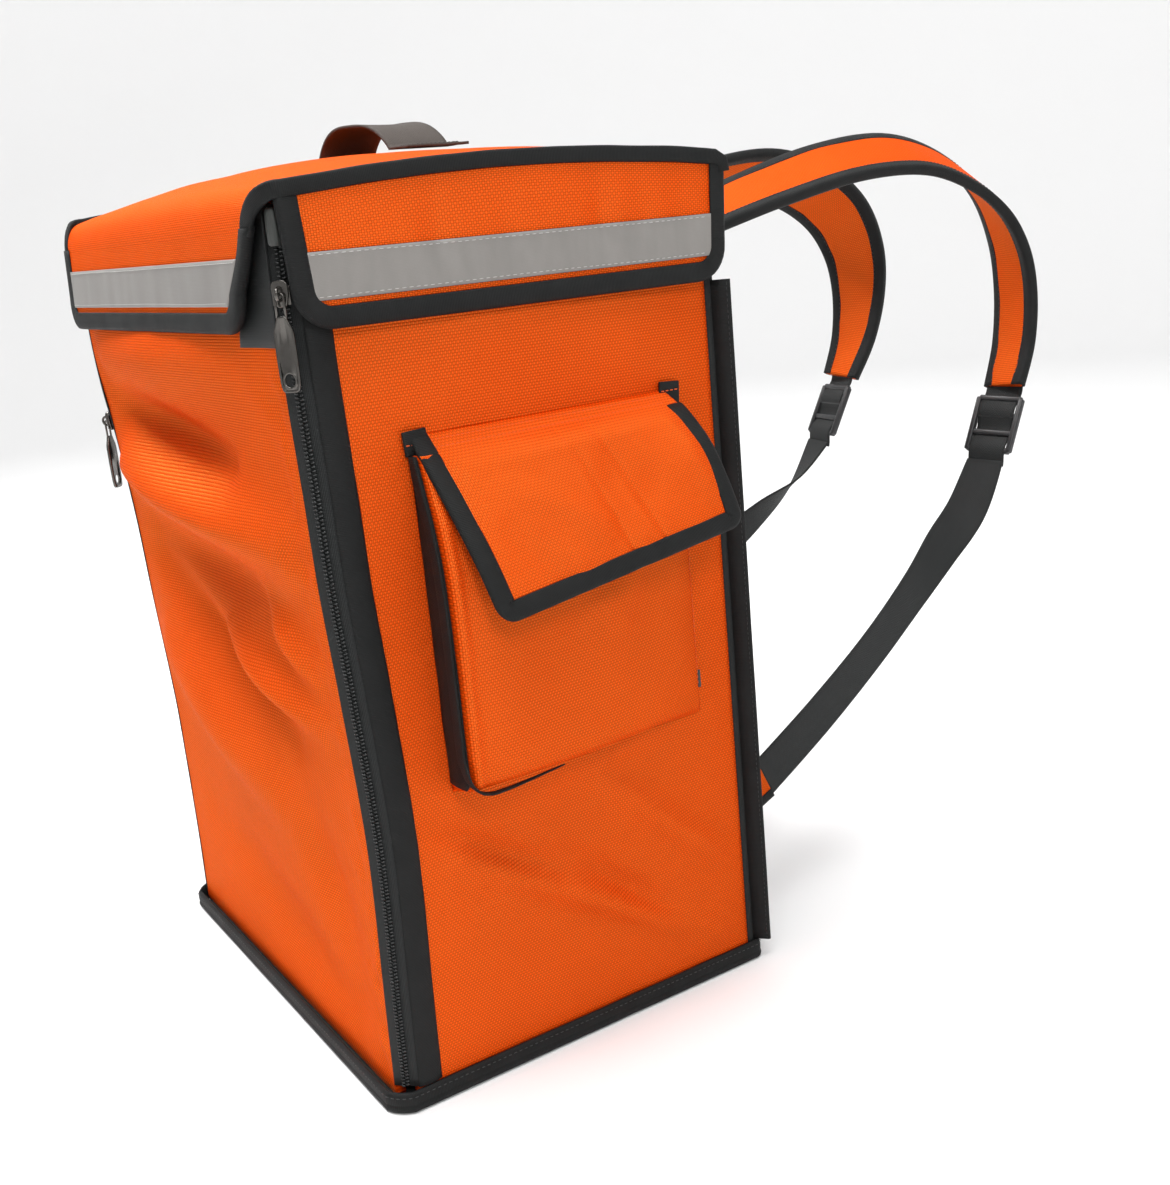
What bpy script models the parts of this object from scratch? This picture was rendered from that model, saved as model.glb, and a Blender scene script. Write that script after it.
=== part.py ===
"""Insulated delivery backpack.

A padded box with a domed lid, three lid flaps, zips down both front corners,
a bellows pocket on the right side, a top handle and two shoulder straps.
Metres, +Z up. The origin is the middle of the base, on the floor.
The zipped front faces -Y, the wearer's back +Y and the pocket +X.
"""
import math

import bmesh
import bpy
from mathutils import Matrix, Vector

# Box of the bag
BODY_WIDTH = 0.347
BODY_DEPTH = 0.261
BODY_HEIGHT = 0.505
PANEL = 0.006
CLEAR = 0.0003

# Lid
LID_REACH = 0.008
LID_THICK = 0.006
LID_DOME = 0.020
LID_DOME_POWER = 3.0
FLAP_DROP = 0.068
FLAP_THICK = 0.003
FLAP_CORNER = 0.020
FRONT_FLAP_TAPER = 0.012
SIDE_FLAP_TAPER = 0.004
SIDE_FLAP_BACK = 0.0075
FRONT_FLARE = 0.009
LID_EDGE_HIGH = 0.012
LID_EDGE_THICK = 0.004
REFLECTOR_WIDTH = 0.023
REFLECTOR_RISE = 0.014
REFLECTOR_THICK = 0.0008

# Bindings
BINDING = 0.011
BINDING_THICK = 0.0009
BINDING_CROWN = 0.0006
BASE_BINDING_HIGH = 0.013
BASE_BINDING_PROUD = 0.003
BASE_BINDING_ROOM = 0.0011
BACK_SEAM = 0.010
BACK_SEAM_THICK = 0.003
FOLD_ROOM = 0.0026
FOOT_GAP = 0.001

# Front corner zips
CORNER_CUT = 0.010
ZIP_TAPE_THICK = 0.0008
ZIP_TAPE_MARGIN = 0.0021
CHAIN_WIDTH = 0.0058
CHAIN_THICK = 0.0022
CORNER_BINDING = 0.0150
ZIP_TOP_DROP = 0.027
RIGHT_SLIDER_DROP = 0.049
LEFT_SLIDER_DROP = 0.133
SLIDER_LONG = 0.013
SLIDER_WIDE = 0.009
SLIDER_THICK = 0.003
BAIL_RISE = 0.0042
BAIL_WIDE = 0.0020
BAIL_LEG = 0.0016
PIN_SEAT = 0.42
PIN_RADIUS = 0.0007
PULL_ARM = 0.011
PULL_ARM_WIDE = 0.0013
PULL_LONG = 0.036
PULL_WIDE = 0.0105
PULL_THICK = 0.0016
PULL_HOLE = 0.27
WELD = 0.0004
SLEEVE_RADIUS = 0.0036
SLEEVE_LONG = 0.018

# Side pocket
POCKET_WIDTH = 0.172
POCKET_HEIGHT = 0.190
POCKET_BOTTOM = 0.181
POCKET_SHIFT = 0.012
POCKET_DEPTH = 0.025
POCKET_WALL = 0.0016
POCKET_FLAP_LONG = 0.086
POCKET_FLAP_WIDE = 0.164
POCKET_FLAP_SHIFT = 0.008
POCKET_FLAP_RISE = 0.007
POCKET_FLAP_LIFT = 0.048
POCKET_FLAP_SKEW = 0.012
POCKET_FLAP_THICK = 0.0018
POCKET_TAB_WIDE = 0.014
POCKET_TAB_HIGH = 0.012
POCKET_TAB_THICK = 0.0016

# Top handle
HANDLE_WIDTH = 0.039
HANDLE_THICK = 0.0016
HANDLE_SPAN = 0.104
HANDLE_FOOT = 0.026
HANDLE_RISE = 0.021
HANDLE_OFFSET = 0.014

# Shoulder straps
STRAP_WIDTH = 0.060
STRAP_THICK = 0.009
STRAP_REACH = 0.360
STRAP_SPREAD = 0.083
STRAP_EDGE = 0.010
STRAP_STAND = 0.0012
WEBBING_WIDTH = 0.030
WEBBING_THICK = 0.0016
BUCKLE_WIDE = 0.040
BUCKLE_THICK = 0.006
ANCHOR_ROOT = 0.058
ANCHOR_THICK = 0.003
ANCHOR_HEIGHT = 0.100
ANCHOR_SPREAD = 0.142
YOKE_WIDTH = 0.250
YOKE_HIGH = 0.034
YOKE_THICK = 0.0016
STRAP_ROWS = 18

HALF_WIDTH = BODY_WIDTH / 2
HALF_DEPTH = BODY_DEPTH / 2
WALL_TOP = BODY_HEIGHT - LID_THICK - CLEAR
ZIP_TOP = BODY_HEIGHT - ZIP_TOP_DROP
POCKET_FLAP_TOP = POCKET_BOTTOM + POCKET_HEIGHT + POCKET_FLAP_RISE
ROOT_HALF = math.sqrt(0.5)

# How far the front corners stand forward of the box, as shares of its depth.
# Columns: height share, left corner, right corner.
CORNER_BOW = (
    (0.00, -0.012, -0.014),
    (0.12, -0.018, -0.020),
    (0.31, -0.020, -0.030),
    (0.50, -0.006, -0.016),
    (0.60, 0.000, -0.006),
    (0.71, 0.014, -0.002),
    (0.79, 0.030, 0.002),
    (0.87, 0.036, 0.004),
    (0.95, 0.018, 0.002),
    (1.00, 0.008, 0.000),
)

# Folds of the front panel, each a soft ridge or valley along a line.
# Columns: x and height at both ends as shares of width and height,
# spread as a share of the height, rise as a share of the depth.
FRONT_FOLDS = (
    (-0.44, 0.84, 0.34, 0.835, 0.050, 0.020),
    (-0.46, 0.765, 0.16, 0.715, 0.034, -0.030),
    (-0.42, 0.690, 0.36, 0.640, 0.040, 0.042),
    (-0.34, 0.590, 0.24, 0.560, 0.036, -0.024),
    (0.22, 0.575, 0.38, 0.500, 0.022, 0.016),
    (-0.40, 0.560, 0.22, 0.400, 0.030, -0.018),
    (0.02, 0.500, 0.36, 0.440, 0.024, 0.022),
    (-0.40, 0.440, 0.16, 0.300, 0.060, 0.030),
    (0.20, 0.330, 0.36, 0.120, 0.050, -0.012),
    (-0.30, 0.180, 0.30, 0.070, 0.050, -0.014),
)

# Folds of the right side panel under the pocket, in the same columns,
# with y as a share of the depth.
SIDE_FOLDS = (
    (-0.28, 0.275, 0.39, 0.057, 0.016, 0.014),
    (-0.34, 0.322, -0.04, 0.220, 0.014, -0.010),
    (-0.01, 0.240, 0.33, 0.070, 0.014, -0.010),
    (0.09, 0.312, 0.45, 0.142, 0.018, 0.012),
    (-0.34, 0.900, 0.40, 0.800, 0.060, 0.008),
)

# Path of a shoulder strap's middle line.
# Columns: reach behind the back panel as a share of STRAP_REACH, height as a
# share of the body's, distance from the centre as a share of STRAP_SPREAD,
# tilt in degrees, width as a share of STRAP_WIDTH.
STRAP_ROUTE = (
    (0.000, 0.902, 0.98, 4, 1.00),
    (0.120, 0.925, 0.99, 10, 1.00),
    (0.310, 0.960, 1.00, 16, 1.00),
    (0.510, 0.988, 1.00, 22, 1.00),
    (0.690, 0.992, 1.00, 28, 1.00),
    (0.830, 0.963, 1.00, 30, 1.00),
    (0.930, 0.915, 1.00, 28, 0.98),
    (0.985, 0.850, 1.01, 22, 0.92),
    (1.000, 0.780, 1.03, 16, 0.84),
    (0.985, 0.705, 1.06, 10, 0.74),
    (0.945, 0.640, 1.09, 5, 0.64),
)

# Path of the webbing from the buckle to the wing at the bag's lower corner.
# Columns: reach share, height share, spread share, twist in degrees.
WEBBING_ROUTE = (
    (0.875, 0.535, 1.13, 8),
    (0.800, 0.470, 1.19, 34),
    (0.700, 0.425, 1.27, 66),
    (0.600, 0.381, 1.36, 84),
    (0.450, 0.322, 1.49, 90),
    (0.280, 0.262, 1.61, 90),
    (0.110, 0.206, 1.70, 90),
)

# Outward stand of the pocket's front, as shares of POCKET_DEPTH.
# Columns: share across from its front edge, share of the depth.
POCKET_SWELL = (
    (0.000, 0.00),
    (0.012, 0.92),
    (0.060, 1.00),
    (0.250, 1.04),
    (0.500, 0.92),
    (0.750, 0.62),
    (0.930, 0.30),
    (0.980, 0.18),
    (1.000, 0.00),
)

# How much of that stand the pocket keeps over its height.
# Columns: height share, share of the stand.
POCKET_FALL = (
    (0.00, 0.00),
    (0.03, 0.80),
    (0.10, 1.00),
    (0.34, 1.00),
    (0.62, 0.98),
    (0.78, 0.80),
    (0.90, 0.50),
    (0.985, 0.30),
)

# Sections of the pocket flap from its stitched top to its lifted edge.
# Columns: share down, share of the lift at its front end, at its rear end.
FLAP_SWELL = (
    (0.00, 0.00, 0.00),
    (0.10, 0.34, 0.26),
    (0.22, 0.58, 0.46),
    (0.40, 0.72, 0.66),
    (0.70, 0.86, 0.80),
    (1.00, 1.00, 0.88),
)


def lerp(a, b, share):
    """Blend two numbers or vectors."""
    return a + (b - a) * share


def column(table, at, key=0, value=1):
    """Read a column of a table at a key, with soft steps between its rows."""
    if at <= table[0][key]:
        return table[0][value]
    for low, high in zip(table, table[1:]):
        if at <= high[key]:
            share = (at - low[key]) / (high[key] - low[key])
            return lerp(low[value], high[value], share)
    return table[-1][value]


def curve_row(table, share):
    """Read a route's table at a share of its length, on a smooth curve."""
    last = len(table) - 1
    place = min(max(share, 0.0), 1.0) * last
    index = min(int(place), last - 1)
    step = place - index
    rows = [table[min(max(index + offset, 0), last)] for offset in (-1, 0, 1, 2)]
    result = []
    for before, start, end, after in zip(*rows):
        slope_in = (end - before) / 2
        slope_out = (after - start) / 2
        cubic = 2 * start - 2 * end + slope_in + slope_out
        square = 3 * end - 3 * start - 2 * slope_in - slope_out
        result.append(((cubic * step + square) * step + slope_in) * step + start)
    return result


def fold(table, across, up, wide, high):
    """Sum the ridges and valleys of a fold table at one place on a panel."""
    total = 0.0
    for x_from, z_from, x_to, z_to, spread, rise in table:
        start = Vector((x_from * wide, z_from * high))
        line = Vector((x_to * wide, z_to * high)) - start
        offset = Vector((across, up)) - start
        along = min(max(offset.dot(line) / line.length_squared, 0.0), 1.0)
        distance = (offset - line * along).length / (spread * high)
        fade = math.sin(math.pi * (0.12 + 0.76 * along))
        total += rise * fade * math.exp(-distance * distance)
    return total


def edge_fade(share, margin):
    """Return 0 at both ends of a span and 1 inside its margins."""
    reach = min(share, 1 - share) / margin
    reach = min(max(reach, 0.0), 1.0)
    return reach * reach * (3 - 2 * reach)


def corner_bow(x, z):
    """Return how far the front stands forward of the box at a width and height."""
    share = min(max((x + HALF_WIDTH) / BODY_WIDTH, 0.0), 1.0)
    high = z / BODY_HEIGHT
    left = column(CORNER_BOW, high, 0, 1)
    right = column(CORNER_BOW, high, 0, 2)
    return lerp(left, right, share) * BODY_DEPTH


def front_y(x, z):
    """Return the front panel's outer face."""
    share = (x + HALF_WIDTH) / BODY_WIDTH
    calm = edge_fade(share, 0.16) * edge_fade(z / BODY_HEIGHT, 0.08)
    swell = fold(FRONT_FOLDS, x, z, BODY_WIDTH, BODY_HEIGHT) * calm
    return -HALF_DEPTH - corner_bow(x, z) - swell * BODY_DEPTH


def right_x(y, z):
    """Return the right side panel's outer face."""
    share = (y + HALF_DEPTH) / BODY_DEPTH
    calm = edge_fade(share, 0.14) * edge_fade(z / BODY_HEIGHT, 0.06)
    return HALF_WIDTH + fold(SIDE_FOLDS, y, z, BODY_DEPTH, BODY_HEIGHT) * calm * BODY_DEPTH


def lid_z(x, y):
    """Return the lid's top face, a low soft dome."""
    across = min(abs(x) / (HALF_WIDTH + LID_REACH), 1.0)
    along = min(abs(y) / (HALF_DEPTH + LID_REACH), 1.0)
    swell = (1 - across ** LID_DOME_POWER) * (1 - along ** LID_DOME_POWER)
    return BODY_HEIGHT + LID_DOME * swell


def clear_scene():
    """Remove what the open file holds."""
    for thing in list(bpy.data.objects):
        bpy.data.objects.remove(thing, do_unlink=True)
    for group in list(bpy.data.collections):
        bpy.data.collections.remove(group)


def make_material(name, colour, roughness, metallic=0.0):
    """Make one Principled material."""
    made = bpy.data.materials.new(name)
    made.use_nodes = True
    shader = made.node_tree.nodes["Principled BSDF"]
    shader.inputs["Base Color"].default_value = (*colour, 1.0)
    shader.inputs["Roughness"].default_value = roughness
    shader.inputs["Metallic"].default_value = metallic
    return made


def add_object(name, shape, group, look):
    """Turn a bmesh into a named object with its own copy of a material."""
    mesh = bpy.data.meshes.new(name)
    shape.to_mesh(mesh)
    shape.free()
    made = bpy.data.objects.new(name, mesh)
    own = look.copy()
    own.name = name + "_finish"
    mesh.materials.append(own)
    group.objects.link(made)
    return made


def add_solidify(target, thickness, offset=-1.0):
    """Give an open surface its thickness."""
    wall = target.modifiers.new("wall", "SOLIDIFY")
    wall.thickness = thickness
    wall.offset = offset
    wall.use_even_offset = True


def add_bevel(target, width, segments=1):
    """Round an object's edges."""
    edge = target.modifiers.new("edge", "BEVEL")
    edge.width = width
    edge.segments = segments
    edge.limit_method = "ANGLE"
    edge.angle_limit = math.radians(30)


def sheet(name, group, look, columns, rows, place, thickness, offset=-1.0):
    """Lay a grid on the surface that place(u, v) gives and thicken it."""
    shape = bmesh.new()
    bmesh.ops.create_grid(shape, x_segments=columns, y_segments=rows, size=0.5)
    for vertex in shape.verts:
        vertex.co = place(vertex.co.x + 0.5, vertex.co.y + 0.5)
    made = add_object(name, shape, group, look)
    add_solidify(made, thickness, offset)
    made.data.shade_smooth()
    return made


def block(name, group, look, size, turn, bevel=0.0):
    """Make a box of a size, placed by a matrix."""
    shape = bmesh.new()
    bmesh.ops.create_cube(shape, size=1.0)
    for vertex in shape.verts:
        vertex.co = Vector(a * b for a, b in zip(vertex.co, size))
    made = add_object(name, shape, group, look)
    made.matrix_world = turn
    if bevel:
        add_bevel(made, bevel)
    return made


def join(target, *others):
    """Fuse solids into the target with exact unions and remove them."""
    for other in others:
        union = target.modifiers.new("join", "BOOLEAN")
        union.operation = "UNION"
        union.object = other
        union.solver = "EXACT"
        bpy.context.view_layer.update()
        ready = target.evaluated_get(bpy.context.evaluated_depsgraph_get())
        mesh = bpy.data.meshes.new_from_object(ready)
        target.modifiers.clear()
        target.data = mesh
        bpy.data.objects.remove(other, do_unlink=True)
    return target


def cut(target, cutter):
    """Cut one solid out of another and keep the cutter as a guide."""
    opening = target.modifiers.new("opening", "BOOLEAN")
    opening.operation = "DIFFERENCE"
    opening.object = cutter
    opening.solver = "EXACT"
    cutter.hide_render = True
    cutter.display_type = "WIRE"


def make_walls(group, looks):
    """Make the base and the four padded walls."""
    base_size = (BODY_WIDTH - CORNER_CUT, BODY_DEPTH - CORNER_CUT, PANEL)
    base_turn = Matrix.Translation((0, 0, PANEL / 2))
    block("base_panel", group, looks["black"], base_size, base_turn, 0.001)

    low = PANEL + FOOT_GAP
    front_half = HALF_WIDTH - CORNER_CUT

    def front(u, v):
        x = lerp(-front_half, front_half, u)
        z = lerp(low, WALL_TOP, v)
        return Vector((x, front_y(x, z), z))

    sheet("front_panel", group, looks["orange"], 16, 20, front, PANEL)

    def side_from(z, side):
        return -HALF_DEPTH + CORNER_CUT - corner_bow(side * HALF_WIDTH, z)

    back_end = HALF_DEPTH - PANEL - CLEAR

    def right(u, v):
        z = lerp(low, WALL_TOP, v)
        y = lerp(side_from(z, 1), back_end, u)
        return Vector((right_x(y, z), y, z))

    sheet("side_panel_right", group, looks["orange"], 9, 16, right, PANEL)

    def left(u, v):
        z = lerp(low, WALL_TOP, v)
        y = lerp(back_end, side_from(z, -1), u)
        return Vector((-HALF_WIDTH, y, z))

    sheet("side_panel_left", group, looks["orange"], 4, 14, left, PANEL)

    def back(u, v):
        x = lerp(HALF_WIDTH, -HALF_WIDTH, u)
        z = lerp(low, WALL_TOP, v)
        return Vector((x, HALF_DEPTH, z))

    sheet("back_panel", group, looks["black"], 4, 6, back, PANEL)


def make_base_binding(group, looks):
    """Run the bound seam round the foot of the walls."""
    reach_x = HALF_WIDTH + BASE_BINDING_ROOM
    reach_y = HALF_DEPTH + BASE_BINDING_ROOM
    corners = []
    for sx, sy, rounded in ((1, -1, True), (1, 1, False), (-1, 1, False), (-1, -1, True)):
        size = CORNER_CUT if rounded else BASE_BINDING_PROUD / 2
        first = Vector((sx * (reach_x - size), sy * reach_y))
        second = Vector((sx * reach_x, sy * (reach_y - size)))
        corners.extend((first, second) if sx * sy < 0 else (second, first))
    profile = (
        (0.0, 0.0),
        (BASE_BINDING_PROUD, BASE_BINDING_PROUD / 2),
        (BASE_BINDING_PROUD, BASE_BINDING_HIGH * 0.75),
        (0.0, BASE_BINDING_HIGH),
    )
    shape = bmesh.new()
    rings = []
    count = len(corners)
    for index, corner in enumerate(corners):
        before = (corner - corners[index - 1]).normalized()
        after = (corners[(index + 1) % count] - corner).normalized()
        mid = (before + after).normalized()
        outward = Vector((mid.y, -mid.x)) / max(mid.dot(before), 0.5)
        ring = []
        for out, up in profile:
            spot = corner + outward * out
            ring.append(shape.verts.new((spot.x, spot.y, CLEAR + up)))
        rings.append(ring)
    for index, ring in enumerate(rings):
        following = rings[(index + 1) % count]
        for step in range(len(profile)):
            turn = (step + 1) % len(profile)
            shape.faces.new((ring[step], following[step], following[turn], ring[turn]))
    bmesh.ops.recalc_face_normals(shape, faces=shape.faces)
    add_object("base_binding", shape, group, looks["binding"])


def make_back_seams(group, looks):
    """Stand the bound seam out of each rear corner."""
    low = BASE_BINDING_HIGH + 2 * CLEAR
    high = BODY_HEIGHT - FLAP_DROP - CLEAR - low
    middle = low + high / 2
    reach = BACK_SEAM / 2 + CLEAR
    for side, word in ((1, "right"), (-1, "left")):
        spot = Vector((side * (HALF_WIDTH + reach * ROOT_HALF), HALF_DEPTH + reach * ROOT_HALF, middle))
        turn = Matrix.Translation(spot) @ Matrix.Rotation(math.radians(45 * side), 4, "Z")
        if side < 0:
            turn = turn @ Matrix.Rotation(math.pi, 4, "Z")
        size = (BACK_SEAM, BACK_SEAM_THICK, high)
        block("back_seam_" + word, group, looks["binding"], size, turn, 0.0008)


def corner_frame(side, z):
    """Return the middle, tangent and outward direction of a zip at a height."""
    y = -HALF_DEPTH + CORNER_CUT / 2 - corner_bow(side * HALF_WIDTH, z)
    middle = Vector((side * (HALF_WIDTH - CORNER_CUT / 2), y, z))
    tangent = Vector((ROOT_HALF, side * ROOT_HALF, 0))
    outward = Vector((side * ROOT_HALF, -ROOT_HALF, 0))
    return middle, tangent, outward


def make_zips(group, looks):
    """Lay the zip tape, the chain and the bound strip along both front corners."""
    low = BASE_BINDING_HIGH + 3 * CLEAR
    face = CORNER_CUT / ROOT_HALF - 2 * ZIP_TAPE_MARGIN
    for side, word in ((1, "right"), (-1, "left")):

        def tape(u, v, side=side):
            z = lerp(low, WALL_TOP, v)
            middle, tangent, outward = corner_frame(side, z)
            return middle + tangent * lerp(-face / 2, face / 2, u) - outward * CLEAR

        sheet("zip_tape_" + word, group, looks["black"], 1, 12, tape, ZIP_TAPE_THICK)

        def chain(u, v, side=side):
            z = lerp(low, ZIP_TOP, v)
            middle, tangent, outward = corner_frame(side, z)
            lift = 2 * CLEAR + CHAIN_THICK * (1.0 - 0.35 * abs(2 * u - 1))
            return middle + tangent * lerp(-CHAIN_WIDTH / 2, CHAIN_WIDTH / 2, u) + outward * lift

        sheet("zip_chain_" + word, group, looks["zip"], 2, 12, chain, CHAIN_THICK * 0.6)

        def strip(u, v, side=side):
            z = lerp(low, WALL_TOP, v)
            start = -HALF_DEPTH + CORNER_CUT - corner_bow(side * HALF_WIDTH, z) + 2 * CLEAR
            share = u if side > 0 else 1 - u
            x = HALF_WIDTH + 2 * CLEAR + BINDING_THICK + BINDING_CROWN * math.sin(math.pi * share)
            return Vector((side * x, start + share * CORNER_BINDING, z))

        sheet("corner_binding_" + word, group, looks["binding"], 2, 12, strip, BINDING_THICK)


def make_zip_sleeve(group, looks, side, word):
    """Cap the top of a zip with its ribbed sleeve."""
    middle, _, outward = corner_frame(side, ZIP_TOP + CLEAR + SLEEVE_LONG / 2)
    spot = middle + outward * (SLEEVE_RADIUS + 3 * CLEAR)
    shape = bmesh.new()
    bmesh.ops.create_cone(
        shape, cap_ends=True, segments=10,
        radius1=SLEEVE_RADIUS, radius2=SLEEVE_RADIUS * 0.8, depth=SLEEVE_LONG,
    )
    made = add_object("zip_sleeve_" + word, shape, group, looks["sleeve"])
    made.location = spot


def slider_axis(side, z):
    """Return the pin line of a zip pull: a point, its direction and the outward one."""
    middle, tangent, outward = corner_frame(side, z)
    stand = 5 * CLEAR + CHAIN_THICK + SLIDER_THICK + BAIL_RISE * PIN_SEAT
    return middle + outward * stand, tangent, outward


def make_slider(group, looks, side, word, z):
    """Make a slider with its bail, and the pull that hangs from it on a pin."""
    axis, tangent, outward = slider_axis(side, z)
    frame = Matrix((
        (tangent.x, outward.x, 0, axis.x),
        (tangent.y, outward.y, 0, axis.y),
        (tangent.z, outward.z, 1, axis.z),
        (0, 0, 0, 1),
    ))
    if frame.to_3x3().determinant() < 0:
        frame = frame @ Matrix.Diagonal((-1, 1, 1, 1))

    def part(name, size, at, bevel=0.0):
        look = looks["metal"]
        return block(name, group, look, size, frame @ Matrix.Translation(at), bevel)

    deck_top = -BAIL_RISE * PIN_SEAT
    deck_size = (SLIDER_WIDE, SLIDER_THICK, SLIDER_LONG)
    slider = part("zip_slider_" + word, deck_size, (0, deck_top - SLIDER_THICK / 2, 0), 0.0008)
    leg_size = (BAIL_WIDE, BAIL_RISE + WELD, BAIL_LEG)
    leg_out = deck_top - WELD + leg_size[1] / 2
    leg_up = (BAIL_RISE + BAIL_LEG) / 2
    upper = part("bail_upper", leg_size, (0, leg_out, leg_up))
    lower = part("bail_lower", leg_size, (0, leg_out, -leg_up))
    roof_size = (BAIL_WIDE, BAIL_LEG, BAIL_RISE + 2 * BAIL_LEG)
    roof = part("bail_roof", roof_size, (0, deck_top + BAIL_RISE + BAIL_LEG / 2 - WELD, 0))
    join(slider, upper, lower, roof)

    arm_out = BAIL_WIDE / 2 + 2 * CLEAR + PULL_ARM_WIDE / 2
    pull_size = (PULL_WIDE, PULL_THICK, PULL_LONG)
    pull = part("zip_pull_" + word, pull_size, (0, 0, -PULL_ARM - PULL_LONG / 2), 0.0005)
    arms = []
    for sign in (-1, 1):
        arm_size = (PULL_ARM_WIDE, PULL_THICK * 0.9, PULL_ARM + PIN_RADIUS + 2 * WELD)
        arms.append(part("pull_arm", arm_size, (sign * arm_out, 0, PIN_RADIUS - arm_size[2] / 2)))
    pin = part("pull_pin", (2 * arm_out, 2 * PIN_RADIUS, 2 * PIN_RADIUS), (0, 0, 0), 0.0003)
    join(pull, *arms, pin)
    hole = bmesh.new()
    bmesh.ops.create_cone(
        hole, cap_ends=True, segments=14,
        radius1=PULL_WIDE * PULL_HOLE, radius2=PULL_WIDE * PULL_HOLE, depth=PULL_THICK * 4,
    )
    cutter = add_object("pull_hole_" + word, hole, looks["cutters"], looks["metal"])
    hole_at = Matrix.Translation((0, 0, -PULL_ARM - PULL_LONG + PULL_WIDE * 0.56))
    stretch = Matrix.Diagonal((1, 1, 1.25, 1))
    cutter.matrix_world = frame @ hole_at @ stretch @ Matrix.Rotation(math.pi / 2, 4, "X")
    cut(pull, cutter)

    pivot = bpy.data.objects.new("pull_pivot_" + word, None)
    pivot.matrix_world = frame
    group.objects.link(pivot)
    bpy.context.view_layer.update()
    world = pull.matrix_world.copy()
    pull.parent = pivot
    pull.matrix_parent_inverse = pivot.matrix_world.inverted()
    pull.matrix_world = world


def make_lid(group, looks):
    """Make the domed lid panel and the bound seams along its sides."""
    half_x = HALF_WIDTH + LID_REACH - LID_EDGE_THICK / 2 - 2 * CLEAR
    front_end = -HALF_DEPTH - LID_REACH - FRONT_FLARE * 0.35

    def top(u, v):
        x = lerp(-half_x, half_x, u)
        y = lerp(front_end, HALF_DEPTH, v)
        return Vector((x, y, lid_z(x, y)))

    sheet("lid_panel", group, looks["orange"], 10, 10, top, LID_THICK)

    long = BODY_DEPTH + LID_REACH
    seam_z = BODY_HEIGHT - LID_EDGE_HIGH * 0.2
    for side, word in ((1, "right"), (-1, "left")):
        spot = (side * (HALF_WIDTH + LID_REACH), 0, seam_z)
        size = (LID_EDGE_THICK, long, LID_EDGE_HIGH)
        block("lid_seam_" + word, group, looks["binding"], size, Matrix.Translation(spot), 0.0014)


class Flap:
    """One hanging flap: its place in space, its outline and what is sewn on it."""

    def __init__(self, name, place, start, end, top, taper):
        self.name = name
        self.place = place
        self.start = start
        self.end = end
        self.top = top
        self.low = BODY_HEIGHT - FLAP_DROP
        self.taper = taper

    def ends(self, z, inset=0.0):
        """Return both ends of the flap at a height, with its lower corners round."""
        share = (self.top - z) / (self.top - self.low)
        radius = FLAP_CORNER - inset
        rise = z - self.low - inset
        round_in = 0.0
        if rise < radius:
            round_in = radius - math.sqrt(max(radius ** 2 - (radius - rise) ** 2, 0.0))
        step = self.taper * share + round_in + inset
        return self.start + step, self.end - step

    def plate(self, group, look, thickness, inset, columns):
        """Make the flap's cloth."""
        low = self.low + inset
        bends = (0.0, 0.03, 0.12, 0.26, 0.5, 0.75, 1.0)

        def at(u, v):
            index = round(v * (len(bends) - 1))
            z = lerp(low, self.top, bends[index])
            start, end = self.ends(z, inset)
            return self.place(lerp(start, end, u), z, 0.0)

        sheet(self.name, group, look, columns, len(bends) - 1, at, thickness)

    def band(self, name, group, look, low, high, thickness, columns):
        """Sew a band across the flap, between its bindings."""

        def at(u, v):
            z = lerp(low, high, v)
            start, end = self.ends(z)
            hem = BINDING + FOLD_ROOM / 2
            return self.place(lerp(start + hem, end - hem, u), z, CLEAR + thickness)

        sheet(name, group, look, columns, 1, at, thickness)

    def binding(self, name, group, look, plate_thick):
        """Fold a binding round the flap's two ends and lower edge."""
        half = plate_thick / 2 + CLEAR + BINDING_THICK
        profile = ((BINDING, half), (0.0012, half), (0.0, 0.0), (0.0012, -half), (BINDING, -half))
        route = self.outline()
        count = len(route) - 1

        def at(u, v):
            depth, stand = profile[round(u * (len(profile) - 1))]
            spot, inward = route[round(v * count)]
            across = spot.x + inward.x * depth
            z = spot.y + inward.y * depth
            return self.place(across, z, stand - plate_thick / 2)

        sheet(name, group, look, len(profile) - 1, count, at, BINDING_THICK)

    def outline(self):
        """List the points of the bound edge with the direction into the cloth."""
        radius = FLAP_CORNER
        top = self.top
        first, last = self.ends(self.low + radius)
        route = [
            (Vector((self.start, top)), Vector((1, 0))),
            (Vector((lerp(self.start, first, 0.5), lerp(top, self.low + radius, 0.5))), Vector((1, 0))),
        ]
        turns = 4
        for step in range(turns + 1):
            angle = math.pi / 2 * step / turns
            inward = Vector((math.cos(angle), math.sin(angle)))
            centre = Vector((first + radius, self.low + radius))
            route.append((centre - inward * radius, inward))
        spans = 5
        for step in range(1, spans):
            x = lerp(first + radius, last - radius, step / spans)
            route.append((Vector((x, self.low)), Vector((0, 1))))
        for step in range(turns + 1):
            angle = math.pi / 2 * (1 - step / turns)
            inward = Vector((-math.cos(angle), math.sin(angle)))
            centre = Vector((last - radius, self.low + radius))
            route.append((centre - inward * radius, inward))
        route.append((Vector((lerp(self.end, last, 0.5), lerp(top, self.low + radius, 0.5))), Vector((-1, 0))))
        route.append((Vector((self.end, top)), Vector((-1, 0))))
        return route


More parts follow.
